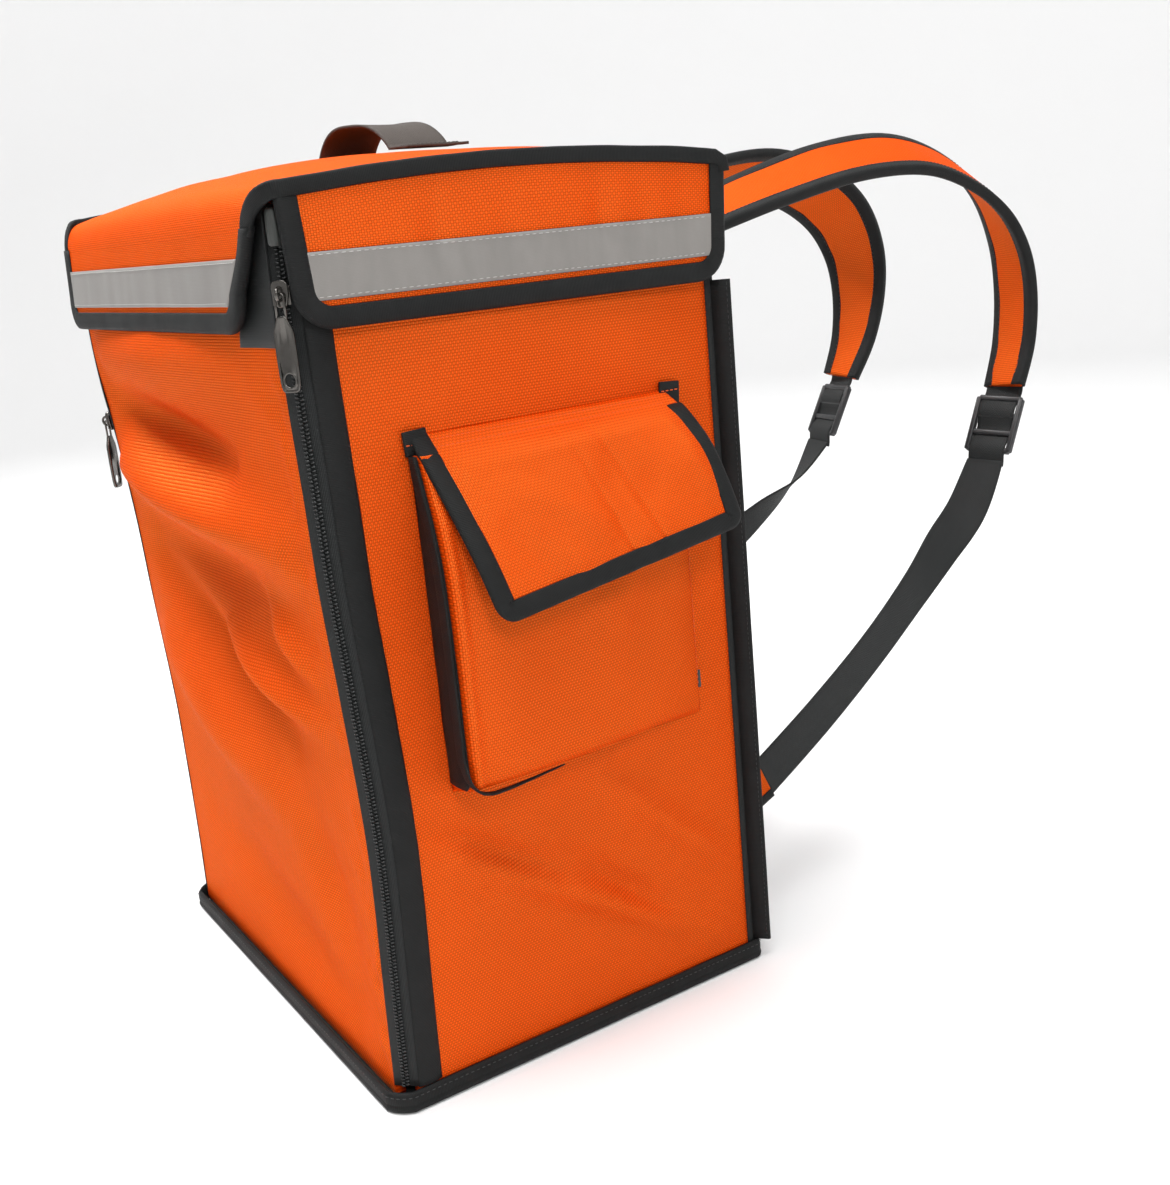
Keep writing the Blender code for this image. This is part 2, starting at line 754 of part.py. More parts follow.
def make_flaps(group, looks):
    """Hang the three lid flaps with their reflectors and bindings."""
    front_top = WALL_TOP
    side_top = BODY_HEIGHT - LID_EDGE_HIGH * 0.7 - CLEAR

    def front_place(x, z, stand):
        left = min(max((HALF_WIDTH - x) / BODY_WIDTH, 0.0), 1.0)
        down = (BODY_HEIGHT - z) / FLAP_DROP
        flare = FRONT_FLARE * (left * (0.45 + 0.6 * down) + 0.2 * down)
        return Vector((x, -HALF_DEPTH - LID_REACH - flare - stand, z))

    def right_place(y, z, stand):
        return Vector((HALF_WIDTH + LID_REACH + stand, y, z))

    def left_place(y, z, stand):
        return Vector((-HALF_WIDTH - LID_REACH - stand, -y, z))

    side_end = HALF_DEPTH + SIDE_FLAP_BACK
    flaps = (
        (Flap("lid_flap_front", front_place, -HALF_WIDTH, HALF_WIDTH, front_top, FRONT_FLAP_TAPER), 10),
        (Flap("lid_flap_right", right_place, -HALF_DEPTH, side_end, side_top, SIDE_FLAP_TAPER), 10),
        (Flap("lid_flap_left", left_place, -side_end, HALF_DEPTH, side_top, SIDE_FLAP_TAPER), 4),
    )
    low = BODY_HEIGHT - FLAP_DROP + REFLECTOR_RISE
    for flap, columns in flaps:
        word = flap.name.rsplit("_", 1)[1]
        flap.plate(group, looks["orange"], FLAP_THICK, FOLD_ROOM, columns)
        high = low + REFLECTOR_WIDTH
        flap.band("reflector_" + word, group, looks["reflector"], low, high, REFLECTOR_THICK, columns)
        flap.binding("flap_binding_" + word, group, looks["binding"], FLAP_THICK)


def pocket_point(share, z, stand):
    """Return a point on the pocket's front at a share across it."""
    y = POCKET_SHIFT + (share - 0.5) * POCKET_WIDTH
    fall = column(POCKET_FALL, (z - POCKET_BOTTOM) / POCKET_HEIGHT)
    swell = column(POCKET_SWELL, share) * POCKET_DEPTH
    base = right_x(y, z) + CLEAR + POCKET_WALL
    return Vector((base + swell * fall + stand, y, z))


def stand_off(surface, a, b, stand, step=0.01):
    """Return the point that stands off a surface along its normal."""
    middle = surface(a, b)
    along_a = surface(a + step, b) - surface(a - step, b)
    along_b = surface(a, min(b + step, 1.0)) - surface(a, max(b - step, 0.0))
    return middle + along_a.cross(along_b).normalized() * stand


def pocket_flap_face(across, up):
    """Return a point on the outer face of the pocket's flap: shares across and up."""
    down = 1 - up
    lift_front = column(FLAP_SWELL, down, 0, 1)
    lift_rear = column(FLAP_SWELL, down, 0, 2)
    lift = lerp(lift_front, lift_rear, across) * POCKET_FLAP_LIFT
    middle = POCKET_FLAP_SHIFT + POCKET_FLAP_SKEW * down
    y = middle + (across - 0.5) * POCKET_FLAP_WIDE
    z = POCKET_FLAP_TOP - down * POCKET_FLAP_LONG
    base = right_x(y, z) + CLEAR + POCKET_FLAP_THICK / 2
    return Vector((base + lift, y, z))


def pocket_flap_point(across, down, stand):
    """Return a point on the pocket's flap or standing off it."""
    return stand_off(pocket_flap_face, across, 1 - down, stand)


def make_pocket(group, looks):
    """Make the bellows pocket, its flap, their bindings and the end tabs."""
    stops = [row[0] for row in POCKET_SWELL]
    heights = [row[0] for row in POCKET_FALL]

    def body(u, v):
        share = stops[round(u * (len(stops) - 1))]
        z = POCKET_BOTTOM + POCKET_HEIGHT * heights[round(v * (len(heights) - 1))]
        return pocket_point(share, z, 0.0)

    sheet("pocket_body", group, looks["orange"], len(stops) - 1, len(heights) - 1, body, POCKET_WALL)

    def gusset(u, v):
        index = 2 + round(v * (len(POCKET_FALL) - 3))
        share, fall = POCKET_FALL[index]
        z = POCKET_BOTTOM + POCKET_HEIGHT * share
        y = POCKET_SHIFT - POCKET_WIDTH / 2 - CLEAR - BINDING_THICK
        root = right_x(y, z) + 2 * CLEAR
        return Vector((lerp(root, root + POCKET_DEPTH * fall * 0.95, u), y, z))

    sheet("pocket_binding", group, looks["binding"], 1, len(POCKET_FALL) - 3, gusset, BINDING_THICK, 1.0)

    inset = FOLD_ROOM / POCKET_FLAP_WIDE
    downs = [row[0] for row in FLAP_SWELL[:-1]] + [0.88, 1 - 2.3 * inset]

    def flap(u, v):
        down = downs[len(downs) - 1 - round(v * (len(downs) - 1))]
        corner = 4 * inset if down == downs[-1] else inset
        return pocket_flap_point(lerp(corner, 1 - corner, u), down, 0.0)

    sheet("pocket_flap", group, looks["orange"], 6, len(downs) - 1, flap, POCKET_FLAP_THICK)

    half = POCKET_FLAP_THICK / 2 + CLEAR + BINDING_THICK
    wide = BINDING / POCKET_FLAP_WIDE
    high = BINDING / POCKET_FLAP_LONG
    side_downs = (0.10, 0.22, 0.40, 0.70, 0.88)
    route = [((0, down), (1, 0)) for down in side_downs]
    route += [((0.02, 0.97), (0.8, -0.8))]
    route += [((across, 1.0), (0, -1)) for across in (0.08, 0.25, 0.5, 0.75, 0.92)]
    route += [((0.98, 0.97), (-0.8, -0.8))]
    route += [((1, down), (-1, 0)) for down in reversed(side_downs)]
    profile = ((1.0, half), (0.1, half), (0.0, 0.0), (0.1, -half), (1.0, -half))

    def hem(u, v):
        depth, stand = profile[round(u * (len(profile) - 1))]
        (across, down), (in_across, in_down) = route[round(v * (len(route) - 1))]
        across += in_across * depth * wide
        down += in_down * depth * high
        return pocket_flap_point(across, down, stand - POCKET_FLAP_THICK / 2)

    sheet("pocket_flap_binding", group, looks["binding"], len(profile) - 1, len(route) - 1, hem, BINDING_THICK)

    for end, word in ((0.0, "front"), (1.0, "rear")):
        y = POCKET_FLAP_SHIFT + (end - 0.5) * POCKET_FLAP_WIDE
        x = right_x(y, POCKET_FLAP_TOP) + CLEAR + POCKET_TAB_THICK / 2
        size = (POCKET_TAB_THICK, POCKET_TAB_WIDE, POCKET_TAB_HIGH)
        spot = (x, y, POCKET_FLAP_TOP + POCKET_TAB_HIGH / 2 + CLEAR)
        block("pocket_tab_" + word, group, looks["binding"], size, Matrix.Translation(spot), 0.0004)


def make_handle(group, looks):
    """Arch the webbing handle across the lid."""
    half = HANDLE_SPAN / 2
    total = half + HANDLE_FOOT

    def at(u, v):
        x = lerp(total, -total, v)
        y = HANDLE_OFFSET + (u - 0.5) * HANDLE_WIDTH
        share = min(abs(x) / half, 1.0)
        rise = HANDLE_RISE * (1 - share ** 2.4) ** 0.9
        seat = max(lid_z(x, y), lid_z(x, HANDLE_OFFSET))
        return Vector((x, y, seat + 3 * CLEAR + HANDLE_THICK + rise))

    sheet("top_handle", group, looks["webbing"], 2, 20, at, HANDLE_THICK)


def strap_row(share, side):
    """Return the middle, across direction and width of a shoulder strap."""
    reach, high, spread, tilt, wide = curve_row(STRAP_ROUTE, share)
    seat = HALF_DEPTH + YOKE_THICK + 2 * CLEAR + STRAP_STAND
    middle = Vector((side * spread * STRAP_SPREAD, seat + reach * STRAP_REACH, high * BODY_HEIGHT))
    return middle, tilt, wide * STRAP_WIDTH


def strap_frame(share, side):
    """Return a strap's middle, across, outward directions and width."""
    step = 0.01
    middle, tilt, wide = strap_row(share, side)
    ahead = strap_row(min(share + step, 1.0), side)[0] - strap_row(max(share - step, 0.0), side)[0]
    along = ahead.normalized()
    level = Vector((1, 0, 0))
    level = (level - along * level.dot(along)).normalized()
    up = level.cross(along)
    angle = -math.radians(tilt) * side
    across = level * math.cos(angle) + up * math.sin(angle)
    return middle, across, across.cross(along), wide


def webbing_frame(share, side):
    """Return the lower webbing's middle, across and outward directions."""
    seat = HALF_DEPTH + YOKE_THICK + 2 * CLEAR
    step = 0.01

    def middle_at(place):
        reach, high, spread, _ = curve_row(WEBBING_ROUTE, place)
        return Vector((side * spread * STRAP_SPREAD, seat + reach * STRAP_REACH, high * BODY_HEIGHT))

    along = (middle_at(min(share + step, 1)) - middle_at(max(share - step, 0))).normalized()
    twist = curve_row(WEBBING_ROUTE, share)[3]
    level = Vector((1, 0, 0))
    level = (level - along * level.dot(along)).normalized()
    up = level.cross(along)
    angle = math.radians(twist) * side
    across = level * math.cos(angle) + up * math.sin(angle)
    return middle_at(share), across, across.cross(along)


def make_strap(group, looks, side, word):
    """Make one padded strap with its bound edges, buckle, webbing and wing."""

    def pad(u, v):
        middle, across, outward, wide = strap_frame(v, side)
        half = wide / 2 - FOLD_ROOM
        crown = 0.06 * STRAP_THICK * (1 - abs(2 * u - 1) ** 3)
        return middle + across * lerp(-half, half, u) + outward * crown

    sheet("shoulder_strap_" + word, group, looks["orange"], 3, STRAP_ROWS, pad, STRAP_THICK * 0.8, 0.0)

    half_skin = STRAP_THICK * 0.52 + CLEAR + BINDING_THICK
    profile = ((STRAP_EDGE, 1.0), (0.0, 0.80), (0.0, -0.80), (STRAP_EDGE, -1.0))
    for edge, edge_word in ((1, "outer"), (-1, "inner")):

        def hem(u, v, edge=edge):
            index = round(u * (len(profile) - 1))
            if edge < 0:
                index = len(profile) - 1 - index
            depth, stand = profile[index]
            middle, across, outward, wide = strap_frame(v, side)
            reach = edge * side * (wide / 2 - depth)
            if side < 0:
                stand = -stand
            return middle + across * reach + outward * stand * half_skin

        name = "strap_binding_" + word + "_" + edge_word
        sheet(name, group, looks["binding"], len(profile) - 1, STRAP_ROWS, hem, BINDING_THICK)

    def webbing(u, v):
        middle, across, _ = webbing_frame(v, side)
        return middle + across * lerp(-WEBBING_WIDTH / 2, WEBBING_WIDTH / 2, u)

    sheet("strap_webbing_" + word, group, looks["webbing"], 1, STRAP_ROWS, webbing, WEBBING_THICK, 0.0)

    top = strap_frame(1.0, side)[0]
    low, across, _ = webbing_frame(0.0, side)
    middle = (top + low) / 2
    along = (low - top).normalized()
    across = (across - along * across.dot(along)).normalized()
    outward = across.cross(along)
    turn = Matrix((
        (across.x, outward.x, along.x, middle.x),
        (across.y, outward.y, along.y, middle.y),
        (across.z, outward.z, along.z, middle.z),
        (0, 0, 0, 1),
    ))
    if turn.to_3x3().determinant() < 0:
        turn = turn @ Matrix.Diagonal((-1, 1, 1, 1))
    size = (BUCKLE_WIDE, BUCKLE_THICK, (low - top).length - 8 * CLEAR)
    block("ladder_lock_" + word, group, looks["plastic"], size, turn, 0.0014)

    end, end_across, end_out = webbing_frame(1.0, side)
    end_along = end_out.cross(end_across)
    if end_along.y > 0:
        end_along = -end_along
    end_up = end_across if end_across.z > 0 else -end_across
    tip = end + end_along * 3 * CLEAR

    def wing(u, v):
        root = Vector((side * ANCHOR_SPREAD, HALF_DEPTH + 2 * CLEAR, ANCHOR_HEIGHT + (u - 0.5) * ANCHOR_ROOT))
        return lerp(root, tip + end_up * (u - 0.5) * WEBBING_WIDTH, v)

    sheet("strap_wing_" + word, group, looks["orange"], 2, 3, wing, ANCHOR_THICK, 0.0)


def make_yoke(group, looks):
    """Sew the reinforcing yoke that holds the straps across the back."""
    high = STRAP_ROUTE[0][1] * BODY_HEIGHT
    size = (YOKE_WIDTH, YOKE_THICK, YOKE_HIGH)
    spot = (0, HALF_DEPTH + CLEAR + YOKE_THICK / 2, high)
    block("strap_yoke", group, looks["binding"], size, Matrix.Translation(spot), 0.0004)


def build():
    """Build the whole bag."""
    clear_scene()
    scene = bpy.context.scene
    group = bpy.data.collections.new("insulated_delivery_backpack")
    cutters = bpy.data.collections.new("cutters")
    scene.collection.children.link(group)
    scene.collection.children.link(cutters)
    looks = {
        "orange": make_material("orange_nylon", (0.80, 0.10, 0.006), 0.55),
        "black": make_material("black_cloth", (0.018, 0.019, 0.018), 0.75),
        "binding": make_material("black_binding", (0.026, 0.028, 0.027), 0.6),
        "reflector": make_material("grey_reflector", (0.26, 0.25, 0.24), 0.4),
        "webbing": make_material("dark_webbing", (0.05, 0.045, 0.04), 0.7),
        "zip": make_material("black_zip", (0.012, 0.012, 0.013), 0.35),
        "sleeve": make_material("grey_sleeve", (0.06, 0.06, 0.055), 0.6),
        "metal": make_material("dark_metal", (0.06, 0.055, 0.05), 0.25, 1.0),
        "plastic": make_material("black_plastic", (0.015, 0.015, 0.016), 0.4),
        "cutters": cutters,
    }
    make_walls(group, looks)
    make_base_binding(group, looks)
    make_back_seams(group, looks)
    make_zips(group, looks)
    make_lid(group, looks)
    make_flaps(group, looks)
    make_pocket(group, looks)
    make_handle(group, looks)
    make_yoke(group, looks)
    for side, word, drop in ((1, "right", RIGHT_SLIDER_DROP), (-1, "left", LEFT_SLIDER_DROP)):
        make_zip_sleeve(group, looks, side, word)
        make_slider(group, looks, side, word, BODY_HEIGHT - drop)
        make_strap(group, looks, side, word)


build()
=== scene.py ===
"""Looks of the insulated delivery backpack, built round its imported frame.

Metres, +Z up. The origin is the middle of the base, on the floor. The zipped
front faces -Y, the wearer's back +Y and the pocket +X.
"""
import math

import bmesh
import bpy
from mathutils import Matrix, Vector, noise


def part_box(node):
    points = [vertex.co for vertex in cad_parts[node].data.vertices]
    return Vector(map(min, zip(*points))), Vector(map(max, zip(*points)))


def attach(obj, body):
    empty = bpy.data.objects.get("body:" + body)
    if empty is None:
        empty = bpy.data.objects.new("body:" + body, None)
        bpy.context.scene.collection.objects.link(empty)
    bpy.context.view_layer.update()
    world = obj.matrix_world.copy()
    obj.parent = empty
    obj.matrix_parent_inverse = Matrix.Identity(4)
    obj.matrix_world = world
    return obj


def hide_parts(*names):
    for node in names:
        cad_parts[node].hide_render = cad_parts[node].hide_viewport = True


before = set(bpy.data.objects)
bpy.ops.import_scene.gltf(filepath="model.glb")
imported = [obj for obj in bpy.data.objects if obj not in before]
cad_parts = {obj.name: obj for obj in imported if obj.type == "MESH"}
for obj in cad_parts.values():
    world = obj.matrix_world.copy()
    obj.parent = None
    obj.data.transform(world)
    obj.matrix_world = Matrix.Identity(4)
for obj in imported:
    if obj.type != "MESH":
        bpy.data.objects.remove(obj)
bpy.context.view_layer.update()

BAG = "bag"
MM = 0.001

# The bag's box, read from the frame
HALF_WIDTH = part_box("back_panel")[1].x
HALF_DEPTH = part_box("back_panel")[1].y
WIDTH = 2 * HALF_WIDTH
DEPTH = 2 * HALF_DEPTH
WALL_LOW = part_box("back_panel")[0].z
WALL_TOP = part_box("back_panel")[1].z
WALL = 6.0 * MM
CLEAR = 0.3 * MM
HEIGHT = WALL_TOP + WALL + CLEAR

# Lid and flaps
LID_REACH = 8.0 * MM
LID_DOME = 20.0 * MM
LID_DOME_POWER = 3.0
LID_ARCH = 8.0 * MM
LID_FOLD_BACK = 13.0 * MM
LID_FOLD_DOWN = 19.0 * MM
FLAP_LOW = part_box("flap_binding_front")[0].z
FLAP_DROP = HEIGHT - FLAP_LOW
FLAP_THICK = 3.0 * MM
FLAP_CORNER = 20.0 * MM
FRONT_FLAP_TAPER = 12.0 * MM
FRONT_FLAP_SLANT = 44.0 * MM
SIDE_FLAP_TAPER = 4.0 * MM
SIDE_FLAP_BACK = 7.5 * MM
FRONT_FLARE = 9.0 * MM
BINDING = 11.0 * MM
BINDING_THICK = 0.9 * MM
REFLECTOR_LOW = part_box("reflector_right")[0].z
REFLECTOR_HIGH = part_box("reflector_right")[1].z

# Front corner zips
CORNER_CUT = 10.0 * MM
CORNER_STRIP = 15.0 * MM
COIL_WIDTH = 5.8 * MM
COIL_PITCH = 2.1 * MM
TAPE_WIDTH = 15.2 * MM

# Side pocket
POCKET_WIDTH = 172.0 * MM
POCKET_HEIGHT = 190.0 * MM
POCKET_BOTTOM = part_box("pocket_body")[0].z
POCKET_SHIFT = 12.0 * MM
POCKET_DEPTH = 25.0 * MM
POCKET_WALL = 1.6 * MM
FLAP_LONG = 86.0 * MM
FLAP_WIDE = 164.0 * MM
FLAP_SHIFT = 8.0 * MM
FLAP_LIFT = 48.0 * MM
FLAP_SKEW = 18.0 * MM
FLAP_CLOTH = 1.8 * MM
POCKET_FLAP_TOP = POCKET_BOTTOM + POCKET_HEIGHT + 7.0 * MM

# Handle and straps
HANDLE_WIDTH = 39.0 * MM
HANDLE_SPAN = 104.0 * MM
HANDLE_FOOT = 26.0 * MM
HANDLE_RISE = 17.0 * MM
HANDLE_OFFSET = 14.0 * MM
STRAP_WIDTH = 60.0 * MM
STRAP_THICK = 9.0 * MM
STRAP_REACH = 360.0 * MM
STRAP_SPREAD = 83.0 * MM
STRAP_EDGE = 10.0 * MM
WEBBING_WIDTH = 30.0 * MM
WEBBING_THICK = 1.6 * MM
STRAP_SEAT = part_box("strap_yoke")[1].y + CLEAR

# The photograph's camera
CAMERA_PLACE = (0.82456, -0.38154, 0.47822)
CAMERA_AHEAD = (-0.81970, 0.51103, -0.25873)
CAMERA_UP = (-0.16910, 0.21566, 0.96171)
CAMERA_LENS = 42.37
CAMERA_SENSOR = 36.0

# How far the front corners stand forward of the box, as shares of its depth.
# Columns: height share, left corner, right corner.
CORNER_BOW = (
    (0.00, -0.012, -0.014),
    (0.12, -0.018, -0.020),
    (0.31, -0.020, -0.030),
    (0.50, -0.006, -0.016),
    (0.60, 0.000, -0.006),
    (0.71, 0.014, -0.002),
    (0.79, 0.030, 0.002),
    (0.87, 0.036, 0.004),
    (0.95, 0.018, 0.002),
    (1.00, 0.008, 0.000),
)

# How much deeper the cloth's folds are than those of the frame
FRONT_GAIN = 2.3
FOLD_GAIN = 1.8

# Folds of the front panel, each a soft ridge or valley along a line.
# Columns: x and height at both ends as shares of width and height,
# spread as a share of the height, rise as a share of the depth.
FRONT_FOLDS = (
    (-0.44, 0.84, 0.34, 0.835, 0.050, 0.020),
    (-0.46, 0.765, 0.16, 0.715, 0.034, -0.030),
    (-0.42, 0.690, 0.36, 0.640, 0.040, 0.042),
    (-0.34, 0.590, 0.24, 0.560, 0.036, -0.024),
    (0.22, 0.575, 0.38, 0.500, 0.022, 0.016),
    (-0.40, 0.560, 0.22, 0.400, 0.030, -0.018),
    (0.02, 0.500, 0.36, 0.440, 0.024, 0.022),
    (-0.40, 0.440, 0.16, 0.300, 0.060, 0.030),
    (0.20, 0.330, 0.36, 0.120, 0.050, -0.012),
    (-0.30, 0.180, 0.30, 0.070, 0.050, -0.014),
)

# Folds of the right side panel under the pocket, in the same columns.
SIDE_FOLDS = (
    (-0.28, 0.275, 0.39, 0.057, 0.016, 0.014),
    (-0.34, 0.322, -0.04, 0.220, 0.014, -0.010),
    (-0.01, 0.240, 0.33, 0.070, 0.014, -0.010),
    (0.09, 0.312, 0.45, 0.142, 0.018, 0.012),
    (-0.34, 0.900, 0.40, 0.800, 0.060, 0.008),
)

# Small dents of the right lid flap under its seam.
# Columns: y and height of the dent, half width, half height, depth, all in mm.
FLAP_DENTS = (
    (-49, 474, 9, 15, 1.6),
    (-8, 473, 10, 13, 1.0),
    (51, 474, 9, 16, 2.0),
    (78, 477, 10, 12, 1.0),
    (104, 476, 10, 14, 1.0),
)

# Path of a shoulder strap's middle line.
# Columns: reach behind the back panel as a share of STRAP_REACH, height as a
# share of the body's, distance from the centre as a share of STRAP_SPREAD,
# tilt in degrees, width as a share of STRAP_WIDTH.
STRAP_ROUTE = (
    (0.000, 0.902, 0.98, 4, 1.00),
    (0.120, 0.925, 0.99, 10, 1.00),
    (0.310, 0.960, 1.00, 16, 1.00),
    (0.510, 0.988, 1.00, 22, 1.00),
    (0.690, 0.992, 1.00, 28, 1.00),
    (0.830, 0.963, 1.00, 30, 1.00),
    (0.930, 0.915, 1.00, 28, 0.98),
    (0.985, 0.850, 1.01, 22, 0.92),
    (1.000, 0.780, 1.03, 16, 0.84),
    (0.985, 0.705, 1.06, 10, 0.74),
    (0.945, 0.640, 1.09, 5, 0.64),
)

# Path of the webbing from the buckle to the wing at the bag's lower corner.
# Columns: reach share, height share, spread share, twist in degrees.
WEBBING_ROUTE = (
    (0.875, 0.535, 1.13, 8),
    (0.800, 0.470, 1.19, 34),
    (0.700, 0.425, 1.27, 66),
    (0.600, 0.381, 1.36, 84),
    (0.450, 0.322, 1.49, 90),
    (0.280, 0.262, 1.61, 90),
    (0.110, 0.206, 1.70, 90),
)

# Outward stand of the pocket's front, as shares of POCKET_DEPTH.
# Columns: share across from its front edge, share of the depth.
POCKET_SWELL = (
    (0.000, 0.00),
    (0.012, 0.92),
    (0.060, 1.00),
    (0.250, 1.04),
    (0.500, 0.92),
    (0.750, 0.62),
    (0.930, 0.30),
    (0.980, 0.18),
    (1.000, 0.00),
)

# How much of that stand the pocket keeps over its height.
# Columns: height share, share of the stand.
POCKET_FALL = (
    (0.00, 0.00),
    (0.03, 0.80),
    (0.10, 1.00),
    (0.34, 1.00),
    (0.62, 0.98),
    (0.78, 0.80),
    (0.90, 0.50),
    (0.985, 0.30),
)

# Folds of the pocket's front: y and height at both ends, spread and rise in mm.
POCKET_FOLDS = (
    (-48, 350, -52, 205, 16, 1.6),
    (-6, 335, -12, 205, 22, -2.4),
    (62, 310, 18, 238, 11, 2.0),
    (44, 312, 0, 262, 9, -1.2),
    (82, 300, 78, 205, 14, 1.6),
    (-58, 222, -30, 196, 9, 1.2),
)

# Folds of the pocket flap, in the same columns.
POCKET_FLAP_FOLDS = (
    (-34, 350, 14, 322, 7, 2.6),
    (-50, 364, 74, 374, 9, 2.4),
    (80, 368, 102, 312, 9, 3.4),
    (14, 346, 72, 328, 17, -3.0),
    (-44, 330, -20, 300, 10, -1.6),
)

# Sections of the pocket flap from its stitched top to its lifted edge.
# Columns: share down, share of the lift at its front end, at its rear end.
FLAP_SWELL = (
    (0.00, 0.00, 0.00),
    (0.10, 0.13, 0.26),
    (0.22, 0.29, 0.46),
    (0.40, 0.50, 0.66),
    (0.70, 0.80, 0.80),
    (1.00, 1.00, 0.88),
)


# Both seams down the pocket flap: share across at its top and at its edge.
POCKET_FLAP_SEAMS = ((0.463, 0.549), (0.579, 0.683))

# Where each zip's slider stands.
# Columns: side, its word, drop below the lid.
SLIDER_DROPS = ((1, "right", 49.0 * MM), (-1, "left", 133.0 * MM))

# The soft lights.
# Columns: name, place, aim, size in metres, power in watts.
BAG_MIDDLE = (0.0, 0.0, 0.28)
LIGHTS = (
    ("top_light", (-0.3, 0.2, 3.0), BAG_MIDDLE, 3.0, 30),
    ("key_light", (-1.1, -0.56, 2.2), BAG_MIDDLE, 0.5, 37),
    ("side_light", (1.9, -0.55, 1.6), BAG_MIDDLE, 0.6, 17),
    ("wall_light", (0.6, -0.3, 3.4), (-2.6, 1.8, 1.2), 2.4, 125),
)
WORLD_STRENGTH = 0.20
FLOOR_RADIUS = 3.2
BACKDROP_BEND = 1.3


def lerp(a, b, share):
    """Blend two numbers or vectors."""
    return a + (b - a) * share


def clamp(value, low=0.0, high=1.0):
    """Keep a number between two others."""
    return min(max(value, low), high)


def ease(value):
    """Turn 0..1 into a soft step."""
    value = clamp(value)
    return value * value * (3 - 2 * value)


def spaced(low, high, step):
    """List stations from low to high about a step apart."""
    count = max(1, round(abs(high - low) / step))
    return [lerp(low, high, index / count) for index in range(count + 1)]


def column(table, at, value=1):
    """Read a column of a table at its first column's key, on a smooth curve."""
    if at <= table[0][0]:
        return table[0][value]
    if at >= table[-1][0]:
        return table[-1][value]
    index = next(i for i in range(len(table) - 1) if at <= table[i + 1][0])
    start, end = table[index], table[index + 1]
    before = table[max(index - 1, 0)]
    after = table[min(index + 2, len(table) - 1)]
    span = end[0] - start[0]
    slope_in = (end[value] - before[value]) / (end[0] - before[0]) * span
    slope_out = (after[value] - start[value]) / (after[0] - start[0]) * span
    step = (at - start[0]) / span
    rise = end[value] - start[value]
    if (rise > 0) != (slope_in > 0) or rise == 0:
        slope_in = 0.0
    if (rise > 0) != (slope_out > 0) or rise == 0:
        slope_out = 0.0
    cubic = slope_in + slope_out - 2 * rise
    square = 3 * rise - 2 * slope_in - slope_out
    return ((cubic * step + square) * step + slope_in) * step + start[value]


def curve_row(table, share):
    """Read a route's table at a share of its length, on a smooth curve."""
    last = len(table) - 1
    place = clamp(share) * last
    index = min(int(place), last - 1)
    step = place - index
    rows = [table[min(max(index + offset, 0), last)] for offset in (-1, 0, 1, 2)]
    result = []
    for before, start, end, after in zip(*rows):
        slope_in = (end - before) / 2
        slope_out = (after - start) / 2
        cubic = 2 * start - 2 * end + slope_in + slope_out
        square = 3 * end - 3 * start - 2 * slope_in - slope_out
        result.append(((cubic * step + square) * step + slope_in) * step + start)
    return result


def fold(table, across, up, wide, high):
    """Sum the ridges and valleys of a fold table at one place on a panel."""
    total = 0.0
    for x_from, z_from, x_to, z_to, spread, rise in table:
        line_x = (x_to - x_from) * wide
        line_z = (z_to - z_from) * high
        off_x = across - x_from * wide
        off_z = up - z_from * high
        along = clamp((off_x * line_x + off_z * line_z) / (line_x ** 2 + line_z ** 2))
        distance = math.hypot(off_x - line_x * along, off_z - line_z * along) / (spread * high)
        if distance < 3:
            fade = math.sin(math.pi * (0.12 + 0.76 * along))
            total += rise * fade * math.exp(-distance * distance)
    return total


def edge_fade(share, margin):
    """Return 0 at both ends of a span and 1 inside its margins."""
    return ease(min(share, 1 - share) / margin)


def ripple(a, b, size_a, size_b, seed):
    """Return smooth seeded noise, about -1 to 1, stretched over two sizes."""
    return noise.noise(Vector((a / size_a, b / size_b, seed)))


def squared(value, power=0.55):
    """Square up a sine or cosine, for a section with soft corners."""
    return math.copysign(abs(value) ** power, value)


def oval(half_a, half_b, count, power_a=0.55, power_b=0.55):
    """List the points of an oval section with more or less square corners."""
    angles = [2 * math.pi * index / count for index in range(count)]
    return [(half_a * squared(math.cos(a), power_a), half_b * squared(math.sin(a), power_b)) for a in angles]


def bend_weights(step):
    """Return the four weights of a cubic bend at a share of its length."""
    back = 1 - step
    return back ** 3, 3 * step * back ** 2, 3 * step ** 2 * back, step ** 3


def corner_bow(x, z):
    """Return how far the front stands forward of the box at a width and height."""
    share = clamp((x + HALF_WIDTH) / WIDTH)
    high = z / HEIGHT
    return lerp(column(CORNER_BOW, high, 1), column(CORNER_BOW, high, 2), share) * DEPTH


def front_y(x, z):
    """Return the front panel's outer face."""
    share = (x + HALF_WIDTH) / WIDTH
    calm = edge_fade(share, 0.16) * edge_fade(z / HEIGHT, 0.08)
    swell = fold(FRONT_FOLDS, x, z, WIDTH, HEIGHT) * calm * FRONT_GAIN
    return -HALF_DEPTH - corner_bow(x, z) - swell * DEPTH


def right_x(y, z):
    """Return the right side panel's outer face."""
    share = (y + HALF_DEPTH) / DEPTH
    calm = edge_fade(share, 0.14) * edge_fade(z / HEIGHT, 0.06)
    return HALF_WIDTH + fold(SIDE_FOLDS, y, z, DEPTH, HEIGHT) * calm * DEPTH * FOLD_GAIN


def lid_arch(y):
    """Return how far the lid's side seams rise between their ends."""
    return LID_ARCH * max(1 - ((y - 5 * MM) / (HALF_DEPTH + LID_REACH)) ** 2, 0.0)


